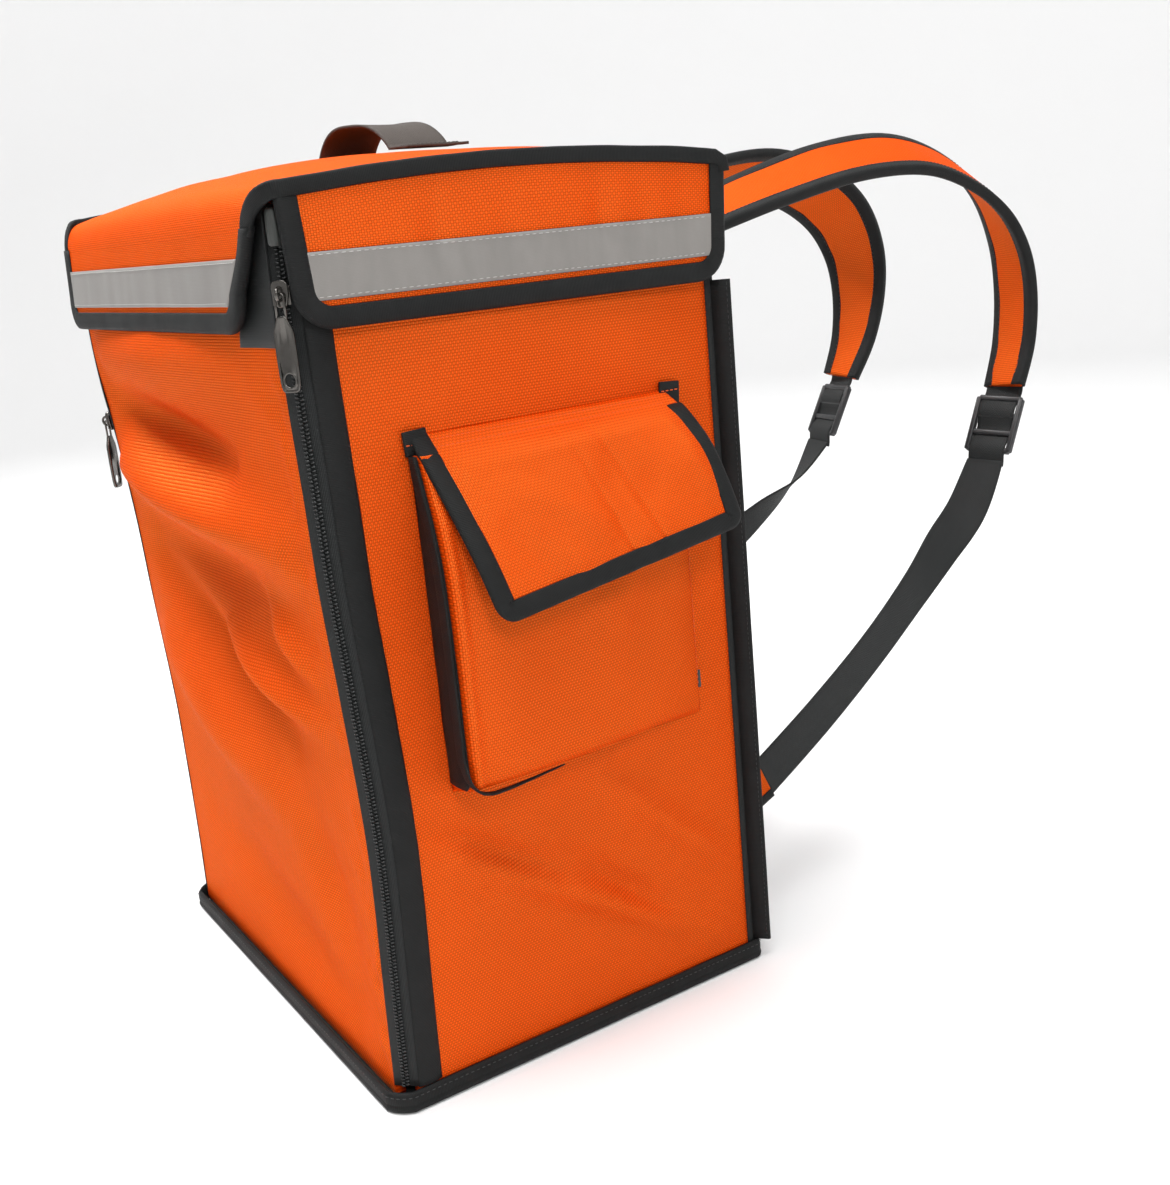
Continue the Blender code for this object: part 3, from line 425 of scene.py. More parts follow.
def lid_z(x, y):
    """Return the lid's top face, a low soft dome."""
    across = min(abs(x) / (HALF_WIDTH + LID_REACH), 1.0)
    along = min(abs(y) / (HALF_DEPTH + LID_REACH), 1.0)
    dome = LID_DOME * (1 - across ** LID_DOME_POWER) * (1 - along ** LID_DOME_POWER)
    return HEIGHT + dome + lid_arch(y) * across ** 4 * 0.8


class Value:
    """A shader socket that Python's operators turn into Math nodes."""

    def __init__(self, finish, socket):
        self.finish = finish
        self.socket = socket

    def math(self, operation, *others):
        """Add one Math node on this value and others."""
        made = self.finish.node("Math", {"operation": operation}, self, *others)
        return Value(self.finish, made.outputs[0])

    def __add__(self, other):
        return self.math("ADD", other)

    def __radd__(self, other):
        return self.math("ADD", other)

    def __sub__(self, other):
        return self.math("SUBTRACT", other)

    def __rsub__(self, other):
        return (self * -1) + other

    def __mul__(self, other):
        return self.math("MULTIPLY", other)

    def __rmul__(self, other):
        return self.math("MULTIPLY", other)

    def __truediv__(self, other):
        return self.math("DIVIDE", other)

    def __pow__(self, other):
        return self.math("POWER", other)

    def fraction(self):
        return self.math("FRACT")

    def floor(self):
        return self.math("FLOOR")

    def sine(self):
        return self.math("SINE")

    def absolute(self):
        return self.math("ABSOLUTE")

    def above(self, limit):
        return self.math("GREATER_THAN", limit)

    def step(self, low, high):
        """Rise softly from 0 to 1 between two limits."""
        made = self.finish.node("MapRange", {"interpolation_type": "SMOOTHSTEP"}, self, low, high, 0.0, 1.0)
        return Value(self.finish, made.outputs[0])


class Finish:
    """One material, with the calls that build its nodes."""

    def __init__(self, name, colour, roughness, metallic=0.0, specular=0.5, tint=(1, 1, 1)):
        self.material = bpy.data.materials.new(name)
        self.material.use_nodes = True
        self.tree = self.material.node_tree
        self.shader = self.tree.nodes["Principled BSDF"]
        self.shader.inputs["Base Color"].default_value = (*colour, 1.0)
        self.shader.inputs["Roughness"].default_value = roughness
        self.shader.inputs["Metallic"].default_value = metallic
        self.shader.inputs["Specular IOR Level"].default_value = specular
        self.shader.inputs["Specular Tint"].default_value = (*tint, 1.0)

    def node(self, kind, settings=None, *inputs, **named):
        """Add a node: its settings first, then the values or links of its sockets."""
        made = self.tree.nodes.new("ShaderNode" + kind)
        for key, value in (settings or {}).items():
            setattr(made, key, value)
        places = [(made.inputs[index], value) for index, value in enumerate(inputs)]
        places += [(made.inputs[key.replace("_", " ")], value) for key, value in named.items()]
        for socket, value in places:
            if isinstance(value, Value):
                self.tree.links.new(value.socket, socket)
            elif isinstance(value, bpy.types.NodeSocket):
                self.tree.links.new(value, socket)
            else:
                socket.default_value = value
        return made

    def cloth_place(self):
        """Return the piece's own cloth coordinates, in mm."""
        made = self.node("UVMap", {"uv_map": "cloth"})
        split = self.node("SeparateXYZ", None, made.outputs[0])
        return Value(self, split.outputs[0]) * 1000, Value(self, split.outputs[1]) * 1000

    def object_place(self):
        """Return the object coordinates as one vector socket."""
        return self.node("TexCoord").outputs["Object"]

    def cloud(self, size_mm, detail=2.0, stretch=(1, 1, 1)):
        """Return soft noise from 0 to 1 with patches of a size."""
        scale = [1000 / size_mm / part for part in stretch]
        mapped = self.node("Mapping", None, self.object_place(), Scale=scale)
        made = self.node("TexNoise", None, mapped.outputs[0], Scale=1.0, Detail=detail)
        return Value(self, made.outputs[0])

    def mix(self, factor, low, high):
        """Blend two colours by a value."""
        made = self.node("Mix", {"data_type": "RGBA"}, factor)
        for index, colour in ((6, low), (7, high)):
            if isinstance(colour, bpy.types.NodeSocket):
                self.tree.links.new(colour, made.inputs[index])
            else:
                made.inputs[index].default_value = (*colour, 1.0)
        return made.outputs[2]

    def paint(self, socket):
        """Feed the base colour."""
        self.tree.links.new(socket, self.shader.inputs["Base Color"])

    def gloss(self, value):
        """Feed the roughness."""
        self.tree.links.new(value.socket, self.shader.inputs["Roughness"])

    def bump(self, height, depth_mm, strength=1.0):
        """Feed the normal from a height between 0 and 1."""
        made = self.node("Bump", None, Strength=strength, Distance=depth_mm * MM, Height=height)
        self.tree.links.new(made.outputs[0], self.shader.inputs["Normal"])
        return made.outputs[0]

    def glint(self, colour, roughness, share, normal):
        """Lay a coloured gloss over the shader, by a share."""
        gloss = self.tree.nodes.new("ShaderNodeBsdfPrincipled")
        gloss.inputs["Base Color"].default_value = (*colour, 1.0)
        gloss.inputs["Specular Tint"].default_value = (*colour, 1.0)
        gloss.inputs["Metallic"].default_value = 1.0
        gloss.inputs["Roughness"].default_value = roughness
        self.tree.links.new(normal, gloss.inputs["Normal"])
        made = self.node("MixShader", None, share, self.shader.outputs[0], gloss.outputs[0])
        output = self.tree.nodes["Material Output"]
        self.tree.links.new(made.outputs[0], output.inputs["Surface"])


def shade(colour, factor):
    """Return a colour made darker or lighter."""
    return tuple(min(part * factor, 1.0) for part in colour)


def woven(across, up, cell_across, cell_up):
    cell_u = across / cell_across
    cell_v = up / cell_up
    warp = (cell_u.fraction() * math.pi).sine()
    weft = (cell_v.fraction() * math.pi).sine()
    checker = ((cell_u.floor() + cell_v.floor()) * 0.5).fraction().above(0.25)
    over = (warp ** 0.6) * (0.45 + weft * 0.55)
    under = (weft ** 0.6) * (0.45 + warp * 0.55)
    return over * (1 - checker) + under * checker, checker


def orange_nylon(name, cell_across=1.09, cell_up=1.55):
    """Make the coated orange cloth with its coarse weave."""
    colour = (0.77, 0.058, 0.001)
    finish = Finish(name, colour, 0.6, specular=0.02, tint=(1.0, 0.6, 0.2))
    across, up = finish.cloth_place()
    height, checker = woven(across, up, cell_across, cell_up)
    cloud = finish.cloud(60, 3)
    # Painted shade and light in the weave: darker in the gaps between threads, lighter on the thread tops.
    # Every other cell is a little lighter, and soft noise varies the tone at random.
    depth = height * 0.55 + checker * 0.30 + cloud * 0.15
    finish.paint(finish.mix(depth.step(0.15, 0.95), shade(colour, 0.58), shade(colour, 1.22)))
    normal = finish.bump(height, 0.40, 1.0)
    finish.glint((1.0, 0.60, 0.13), 0.36, 0.012 + height * 0.13, normal)
    return finish.material


def black_tape(name, colour=(0.007, 0.0075, 0.0075), rib=0.9):
    """Make the folded black binding with fine ribs across it."""
    finish = Finish(name, colour, 0.62, specular=0.20)
    across, up = finish.cloth_place()
    ribs = ((up / rib).fraction() * math.pi).sine()
    threads = ((across / 0.55).fraction() * math.pi).sine()
    cloud = finish.cloud(14, 3)
    height = ribs * 0.7 + threads * 0.3
    # Painted shade and light: darker in the grooves between the ribs and threads, lighter on their tops.
    # Soft noise varies the tone at random.
    finish.paint(finish.mix(height * 0.6 + cloud * 0.4, shade(colour, 0.60), shade(colour, 1.55)))
    finish.gloss(0.70 - cloud * 0.16)
    finish.bump(height, 0.22, 0.8)
    return finish.material


def black_cloth(name, colour=(0.012, 0.013, 0.013)):
    """Make the matt black cloth of the back and base."""
    finish = Finish(name, colour, 0.75, specular=0.25)
    across, up = finish.cloth_place()
    height, _ = woven(across, up, 0.9, 0.9)
    cloud = finish.cloud(40, 3)
    # Painted shade and light: darker in the weave's gaps, lighter on the thread tops. Soft noise varies the
    # tone at random.
    finish.paint(finish.mix(height * 0.5 + cloud * 0.5, shade(colour, 0.6), shade(colour, 1.6)))
    finish.gloss(0.80 - height * 0.12)
    finish.bump(height, 0.25, 0.8)
    return finish.material


def reflective_tape(name):
    """Make the grey reflective tape with its fine beaded grain."""
    colour = (0.235, 0.222, 0.208)
    finish = Finish(name, colour, 0.38, metallic=0.15, specular=0.5)
    across, up = finish.cloth_place()
    grain = ((across / 0.7).fraction() * math.pi).sine() * ((up / 0.7).fraction() * math.pi).sine()
    cloud = finish.cloud(30, 4, (1, 0.35, 1))
    finish.paint(finish.mix(cloud * 0.75 + grain * 0.25, shade(colour, 0.82), shade(colour, 1.2)))
    finish.gloss(0.34 + cloud * 0.14)
    finish.bump(grain * 0.4 + cloud * 0.6, 0.25, 0.5)
    return finish.material


def woven_webbing(name, colour, rib=1.6):
    """Make a webbing with chevron ribs along its length."""
    finish = Finish(name, colour, 0.7, specular=0.3)
    across, up = finish.cloth_place()
    lean = (((across / 6.0).fraction() - 0.5).absolute() * 5.0 + up) / rib
    ribs = (lean.fraction() * math.pi).sine()
    threads = ((across / 0.75).fraction() * math.pi).sine()
    height = ribs * 0.55 + threads * 0.45
    cloud = finish.cloud(12, 3)
    # Painted shade and light: darker in the grooves between the ribs and threads, lighter on their tops.
    # Soft noise varies the tone at random.
    finish.paint(finish.mix(height * 0.6 + cloud * 0.4, shade(colour, 0.55), shade(colour, 1.5)))
    finish.gloss(0.78 - height * 0.12)
    finish.bump(height, 0.3, 0.9)
    return finish.material


def zip_tape_cloth(name):
    """Make the ribbed black cloth beside the zip's coil."""
    colour = (0.009, 0.010, 0.010)
    finish = Finish(name, colour, 0.6, specular=0.28)
    across, up = finish.cloth_place()
    ribs = ((across / 0.9).fraction() * math.pi).sine()
    picks = ((up / 0.8).fraction() * math.pi).sine()
    height = ribs * 0.6 + picks * 0.4
    # Painted shade and light: darker in the grooves between the ribs, lighter on their tops.
    finish.paint(finish.mix(height, shade(colour, 0.5), shade(colour, 1.9)))
    finish.gloss(0.65 - height * 0.15)
    finish.bump(height, 0.25, 0.9)
    return finish.material


def plain_finish(name, colour, roughness, metallic=0.0, wear=0.3, grain_mm=6):
    """Make a moulded or metal finish with slight mottling."""
    finish = Finish(name, colour, roughness, metallic=metallic)
    cloud = finish.cloud(grain_mm, 4)
    finish.paint(finish.mix(cloud, shade(colour, 1 - wear), shade(colour, 1 + wear)))
    finish.gloss(roughness * 0.75 + cloud * roughness * 0.5)
    finish.bump(cloud, 0.05, 0.4)
    return finish.material


def thread(name, colour, roughness=0.55):
    """Make a sewing thread with a fine twist."""
    finish = Finish(name, colour, roughness, specular=0.4)
    cloud = finish.cloud(1.2, 2)
    finish.paint(finish.mix(cloud, shade(colour, 0.75), shade(colour, 1.15)))
    finish.bump(cloud, 0.1, 0.6)
    return finish.material


# The material slot of the frame that each finish belongs to
SLOTS = {
    "orange": "orange_nylon",
    "orange_flap": "orange_nylon",
    "binding": "black_binding",
    "black": "black_cloth",
    "reflector": "grey_reflector",
    "handle": "dark_webbing",
    "webbing": "dark_webbing",
    "zip_tape": "black_zip",
    "coil": "black_zip",
    "sleeve": "grey_sleeve",
    "metal": "dark_metal",
    "plastic": "black_plastic",
}


def make_finishes():
    """Make every finish of the bag once."""
    return {
        "orange": orange_nylon("orange_cloth"),
        "orange_flap": orange_nylon("orange_cloth_turned", 1.45, 1.00),
        "binding": black_tape("black_binding_tape"),
        "black": black_cloth("black_back_cloth"),
        "reflector": reflective_tape("reflective_tape"),
        "handle": woven_webbing("handle_webbing", (0.052, 0.042, 0.036)),
        "webbing": woven_webbing("strap_webbing", (0.012, 0.013, 0.013)),
        "zip_tape": zip_tape_cloth("zip_tape_cloth"),
        "coil": plain_finish("zip_coil", (0.012, 0.013, 0.013), 0.25, wear=0.2, grain_mm=3),
        "sleeve": plain_finish("zip_sleeve", (0.040, 0.043, 0.040), 0.55),
        "metal": plain_finish("gunmetal", (0.115, 0.108, 0.100), 0.24, metallic=0.9, wear=0.25, grain_mm=4),
        "plastic": plain_finish("buckle_plastic", (0.016, 0.016, 0.017), 0.4, wear=0.15, grain_mm=2),
        "white_thread": thread("white_thread", (0.56, 0.55, 0.53)),
        "orange_thread": thread("orange_thread", (0.75, 0.10, 0.012)),
        "black_thread": thread("black_thread", (0.035, 0.036, 0.036)),
        "grey_thread": thread("grey_thread", (0.16, 0.16, 0.16)),
    }


def finish_piece(name, shape, look, *nodes, slot=None, body=BAG, wall=None, offset=-1.0, fill=None):
    """Turn a bmesh into a piece that rides on a body and stands for frame nodes.

    An open cloth gets a wall of a thickness. The fill argument is not used.
    """
    mesh = bpy.data.meshes.new(name)
    shape.to_mesh(mesh)
    shape.free()
    mesh.materials.append(looks[look])
    mesh.shade_smooth()
    made = bpy.data.objects.new(name, mesh)
    bpy.context.scene.collection.objects.link(made)
    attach(made, body)
    slot or SLOTS[look]
    if nodes:
        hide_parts(*nodes)
    if wall:
        solid = made.modifiers.new("wall", "SOLIDIFY")
        solid.thickness = wall
        solid.offset = offset
        solid.use_even_offset = True


def cloth_grid(across, along, place, chart=None):
    """Lay a grid of cloth over two lists of stations and keep its cloth coordinates."""
    shape = bmesh.new()
    bmesh.ops.create_grid(shape, x_segments=len(across) - 1, y_segments=len(along) - 1, size=0.5)
    layer = shape.loops.layers.uv.new("cloth")
    spots = {}
    for vertex in shape.verts:
        s = across[round((vertex.co.x + 0.5) * (len(across) - 1))]
        t = along[round((vertex.co.y + 0.5) * (len(along) - 1))]
        spots[vertex] = (place(s, t), chart(s, t) if chart else (s, t))
    for face in shape.faces:
        for loop in face.loops:
            loop[layer].uv = spots[loop.vert][1]
    for vertex, (spot, _) in spots.items():
        vertex.co = spot
    return shape


def running(points):
    """Return the running length along a list of points."""
    total = 0.0
    lengths = [total]
    for before, after in zip(points, points[1:]):
        total += (after - before).length
        lengths.append(total)
    return lengths


def swept(section, stations, closed=False):
    """Sweep a closed section along (point, side, out) frames, with two sizes where they change."""
    count = len(section)
    ring = [Vector(point) for point in section]
    wide = stations[len(stations) // 2][3] if len(stations[0]) > 3 else 1.0
    around = [length * wide for length in running(ring + ring[:1])]
    length = running([station[0] for station in stations])
    shape = bmesh.new()
    bmesh.ops.create_grid(shape, x_segments=count, y_segments=len(stations) - 1, size=0.5)
    layer = shape.loops.layers.uv.new("cloth")
    for face in shape.faces:
        for loop in face.loops:
            i = round((loop.vert.co.x + 0.5) * count)
            j = round((loop.vert.co.y + 0.5) * (len(stations) - 1))
            loop[layer].uv = (around[i], length[j])
    for vertex in shape.verts:
        i = round((vertex.co.x + 0.5) * count) % count
        j = round((vertex.co.y + 0.5) * (len(stations) - 1))
        point, side, out, *sizes = stations[j]
        wide, thick = sizes or (1.0, 1.0)
        vertex.co = point + side * ring[i].x * wide + out * ring[i].y * thick
    bmesh.ops.remove_doubles(shape, verts=shape.verts, dist=1e-7)
    if not closed:
        rims = [edge for edge in shape.edges if edge.is_boundary]
        bmesh.ops.holes_fill(shape, edges=rims, sides=0)
    bmesh.ops.recalc_face_normals(shape, faces=shape.faces)
    return shape


def round_box(size, matrix, bevel, segments=2):
    """Make a bmesh box with rounded edges, placed by a matrix."""
    shape = bmesh.new()
    bmesh.ops.create_cube(shape, size=1.0)
    bmesh.ops.scale(shape, vec=size, verts=shape.verts)
    bmesh.ops.bevel(
        shape, geom=shape.edges[:], offset=bevel, segments=segments,
        profile=0.5, affect="EDGES", material=-1,
    )
    bmesh.ops.transform(shape, matrix=matrix, verts=shape.verts)
    return shape


def chart_box(shape, across, up):
    """Give a box cloth coordinates along two of its axes."""
    layer = shape.loops.layers.uv.new("cloth")
    for face in shape.faces:
        for loop in face.loops:
            loop[layer].uv = (loop.vert.co[across], loop.vert.co[up])


def merge(shapes):
    """Put several bmeshes into one."""
    whole = bmesh.new()
    for shape in shapes:
        mesh = bpy.data.meshes.new("part")
        shape.to_mesh(mesh)
        shape.free()
        whole.from_mesh(mesh)
        bpy.data.meshes.remove(mesh)
    return whole


def stitches(name, runs, look, slot, radius=0.28 * MM):
    """Lay small thread stitches. Each run is a list of (point, outward) and a stitch pitch."""
    whole = bmesh.new()
    for route, pitch, share in runs:
        lengths = running([point for point, _ in route])
        count = int(lengths[-1] / pitch)
        place = 0
        for index in range(count):
            middle = (index + 0.5) * pitch
            while place < len(lengths) - 2 and lengths[place + 1] < middle:
                place += 1
            span = lengths[place + 1] - lengths[place]
            step = (middle - lengths[place]) / span if span else 0.0
            point = lerp(route[place][0], route[place + 1][0], step)
            out = route[place][1].normalized()
            along = (route[place + 1][0] - route[place][0]).normalized()
            side = out.cross(along).normalized()
            turn = Matrix((side, along, out)).transposed().to_4x4()
            size = Matrix.Diagonal((radius, pitch * share / 2, radius, 1))
            spot = Matrix.Translation(point + out * radius * 0.35)
            bmesh.ops.create_icosphere(whole, subdivisions=1, radius=1.0, matrix=spot @ turn @ size)
    finish_piece(name, whole, look, slot=slot)


def make_walls():
    """Make the padded walls: front, both sides, back and base."""
    half = HALF_WIDTH - CORNER_CUT

    def front(x, z):
        edge = half - x
        left_edge = half + x
        pucker = math.exp(-((edge - 7 * MM) / (10 * MM)) ** 2) * ripple(edge, z, 9 * MM, 13 * MM, 3.1)
        drag = math.exp(-(edge / (34 * MM)) ** 2)
        drag *= ripple(edge + z * 0.5, z - edge * 0.8, 30 * MM, 17 * MM, 8.4)
        left = math.exp(-(left_edge / (14 * MM)) ** 2) * ripple(left_edge, z, 12 * MM, 22 * MM, 5.2)
        calm = edge_fade(z / HEIGHT, 0.05) * ease(edge / (5 * MM)) * ease(left_edge / (5 * MM))
        sag = ripple(x, z, 60 * MM, 45 * MM, 1.7) * 0.9 * MM
        rise = (1.5 * pucker + 1.9 * drag + 0.8 * left) * MM + sag
        return Vector((x, front_y(x, z) - rise * calm, z))

    stations = spaced(-half, half * 0.70, 3.4 * MM)[:-1] + spaced(half * 0.70, half, 2.0 * MM)
    shape = cloth_grid(stations, spaced(WALL_LOW, WALL_TOP, 3.0 * MM), front)
    finish_piece("front_cloth", shape, "orange", "front_panel", wall=WALL, fill=0.6)

    back_end = HALF_DEPTH - WALL - CLEAR

    def side_start(side, z):
        return -HALF_DEPTH + CORNER_CUT - corner_bow(side * HALF_WIDTH, z)

    def right(share, z):
        y = lerp(side_start(1, z), back_end, share)
        wave = ripple(y, z, 45 * MM, 38 * MM, 6.3) * 0.8 * MM
        calm = edge_fade(share, 0.08) * edge_fade(z / HEIGHT, 0.05)
        return Vector((right_x(y, z) + wave * calm, y, z))

    def right_chart(share, z):
        return lerp(side_start(1, z), back_end, share), z

    shape = cloth_grid(spaced(0, 1, 0.0125), spaced(WALL_LOW, WALL_TOP, 3.2 * MM), right, right_chart)
    finish_piece("side_cloth_right", shape, "orange", "side_panel_right", wall=WALL, fill=0.6)

    def left(share, z):
        y = lerp(back_end, side_start(-1, z), share)
        wave = ripple(y, z, 55 * MM, 60 * MM, 2.9) * 1.6 * MM
        belly = 1.2 * MM * math.sin(math.pi * share) * math.sin(math.pi * z / HEIGHT)
        calm = edge_fade(share, 0.10) * edge_fade(z / HEIGHT, 0.06)
        return Vector((-HALF_WIDTH - (wave + belly) * calm, y, z))

    def left_chart(share, z):
        return -lerp(back_end, side_start(-1, z), share), z

    shape = cloth_grid(spaced(0, 1, 0.025), spaced(WALL_LOW, WALL_TOP, 6.0 * MM), left, left_chart)
    finish_piece("side_cloth_left", shape, "orange", "side_panel_left", wall=WALL, fill=0.6)

    def back(x, z):
        calm = edge_fade((x + HALF_WIDTH) / WIDTH, 0.10) * edge_fade(z / HEIGHT, 0.06)
        wave = ripple(x, z, 70 * MM, 60 * MM, 4.4) * 0.8 * MM - 0.8 * MM
        return Vector((-x, HALF_DEPTH + wave * calm, z))

    shape = cloth_grid(spaced(-HALF_WIDTH, HALF_WIDTH, 7 * MM), spaced(WALL_LOW, WALL_TOP, 7 * MM), back)
    finish_piece("back_cloth", shape, "black", "back_panel", wall=WALL, fill=0.6)

    low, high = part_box("base_panel")
    middle = (low + high) / 2
    shape = round_box(high - low, Matrix.Translation(middle), 1.2 * MM)
    chart_box(shape, 0, 1)
    finish_piece("base_cloth", shape, "black", "base_panel", fill=0.8)


def lid_profile(x, t):
    """Return y and z of the lid's cloth at a running length from its back edge."""
    fold_y = -HALF_DEPTH - LID_REACH + LID_FOLD_BACK
    top_long = HALF_DEPTH - fold_y
    if t <= top_long:
        y = HALF_DEPTH - t
        return y, lid_z(x, y)
    low_z = HEIGHT - LID_FOLD_DOWN
    front = flap_front(x, low_z, 0.0).y
    start_z = lid_z(x, fold_y)
    slope = (lid_z(x, fold_y + MM) - start_z) / MM
    fold_long = LID_FOLD_BACK + LID_FOLD_DOWN * 0.7
    if t >= top_long + fold_long:
        z = low_z - (t - top_long - fold_long)
        return flap_front(x, z, 0.0).y, z
    share = (t - top_long) / fold_long
    reach = LID_FOLD_BACK * 0.75
    points = (
        (fold_y, start_z),
        (fold_y - reach, start_z - reach * slope),
        (front, low_z + LID_FOLD_DOWN * 0.62),
        (front, low_z),
    )
    weights = bend_weights(share)
    y = sum(weight * point[0] for weight, point in zip(weights, points))
    z = sum(weight * point[1] for weight, point in zip(weights, points))
    return y, z


def flap_front(x, z, stand):
    """Return a point on the front flap or standing off it."""
    left = clamp((HALF_WIDTH - x) / WIDTH)
    down = (HEIGHT - z) / FLAP_DROP
    flare = FRONT_FLARE * (left * (0.45 + 0.6 * down) + 0.2 * down)
    crease = ripple(x, z, 26 * MM, 120 * MM, 9.1) * 1.1 * MM * ease(down * 2.2)
    return Vector((x, -HALF_DEPTH - LID_REACH - flare - crease - stand, z))


def flap_right(y, z, stand):
    """Return a point on the right flap or standing off it."""
    dent = 0.0
    for dent_y, dent_z, half_wide, half_high, deep in FLAP_DENTS:
        off_z = (z - dent_z * MM) / (half_high * MM)
        width = half_wide * (0.6 + 0.5 * clamp((HEIGHT - z) / FLAP_DROP))
        off_y = (y - dent_y * MM) / (width * MM)
        dent += deep * MM * math.exp(-off_y ** 2 - off_z ** 2)
    wave = ripple(y, z, 34 * MM, 60 * MM, 4.8) * 0.5 * MM
    lift = lid_arch(y) * ease((z - REFLECTOR_HIGH) / (22 * MM))
    return Vector((HALF_WIDTH + LID_REACH + wave - dent + stand, y, z + lift))


def flap_left(y, z, stand):
    """Return a point on the left flap or standing off it."""
    wave = ripple(y, z, 40 * MM, 60 * MM, 7.7) * 0.6 * MM
    lift = lid_arch(-y) * ease((z - REFLECTOR_HIGH) / (22 * MM))
    return Vector((-HALF_WIDTH - LID_REACH - wave - stand, -y, z + lift))


class Flap:
    """A hanging flap: its place in space, its ends and what is sewn on it."""

    def __init__(self, place, start, end, top, taper, slant=None):
        self.place = place
        self.start = start
        self.end = end
        self.top = top
        self.taper = taper
        self.slant = taper if slant is None else slant

    def ends(self, z, inset=0.0):
        """Return both ends of the flap at a height, with its lower corners round."""
        share = (self.top - z) / (self.top - FLAP_LOW)
        radius = FLAP_CORNER - inset
        rise = z - FLAP_LOW - inset
        round_in = 0.0
        if rise < radius:
            round_in = radius - math.sqrt(max(radius ** 2 - (radius - rise) ** 2, 0.0))
        step = round_in + inset
        return self.start + self.taper * share + step, self.end - self.slant * share - step

    def outline(self):
        """List the bound edge as (across, height) points with the way into the cloth."""
        radius = FLAP_CORNER
        corner_z = FLAP_LOW + radius
        first, last = self.ends(corner_z)
        rows = []
        for z in spaced(self.top, corner_z, 4 * MM)[:-1]:
            rows.append((Vector((self.ends(z)[0], z)), Vector((1, 0))))
        for index in range(9):
            angle = math.pi / 2 * index / 8
            inward = Vector((math.cos(angle), math.sin(angle)))
            rows.append((Vector((first + radius, corner_z)) - inward * radius, inward))
        for x in spaced(first + radius, last - radius, 5 * MM)[1:-1]:
            rows.append((Vector((x, FLAP_LOW)), Vector((0, 1))))
        for index in range(9):
            angle = math.pi / 2 * (1 - index / 8)
            inward = Vector((-math.cos(angle), math.sin(angle)))
            rows.append((Vector((last - radius, corner_z)) - inward * radius, inward))
        for z in spaced(corner_z, self.top, 4 * MM)[1:]:
            rows.append((Vector((self.ends(z)[1], z)), Vector((-1, 0))))
        return rows

    def binding(self, name, node):
        """Fold the binding tape round the flap's ends and lower edge."""
        half = FLAP_THICK / 2 + CLEAR + BINDING_THICK
        section = fold_section(BINDING, half)
        stations = []
        for spot, inward in self.outline():
            point = self.place(spot.x, spot.y, -FLAP_THICK / 2)
            ahead = self.place(spot.x + inward.x * MM, spot.y + inward.y * MM, -FLAP_THICK / 2)
            out = self.place(spot.x, spot.y, FLAP_THICK) - point
            stations.append((point, (ahead - point).normalized(), out.normalized()))
        shape = swept(section, stations)
        finish_piece(name, shape, "binding", node)

    def band(self, name, node):
        """Sew the reflective tape across the flap."""
        hem = BINDING - 1.5 * MM

        def at(share, z):
            start, end = self.ends(z)
            across = lerp(start + hem, end - hem, share)
            soft = ripple(across, z, 11 * MM, 55 * MM, 2.2) * 0.3 * MM
            return self.place(across, z, CLEAR + 0.7 * MM + soft)

        def chart(share, z):
            start, end = self.ends(z)
            return lerp(start, end, share), z

        stations = spaced(0, 1, 0.008)
        shape = cloth_grid(stations, spaced(REFLECTOR_LOW, REFLECTOR_HIGH, 2.3 * MM), at, chart)
        finish_piece(name, shape, "reflector", node, wall=0.6 * MM)


def fold_section(depth, half, thick=BINDING_THICK, crown=0.35 * MM):
    """Return the section of a tape folded over an edge: columns into the cloth and out."""
    outer = [
        (depth, half - 0.25 * MM),
        (depth * 0.90, half + crown * 0.4),
        (depth * 0.5, half + crown),
        (depth * 0.18, half + crown * 0.6),
        (0.4 * MM, half * 0.72),
        (0.0, half * 0.25),
    ]
    outline = outer + [(a, -b) for a, b in reversed(outer)]
    inner = [(depth, -half + thick), (thick * 1.1, -half + thick), (thick * 0.9, 0.0)]
    inner += [(thick * 1.1, half - thick), (depth, half - thick)]
    return outline + inner


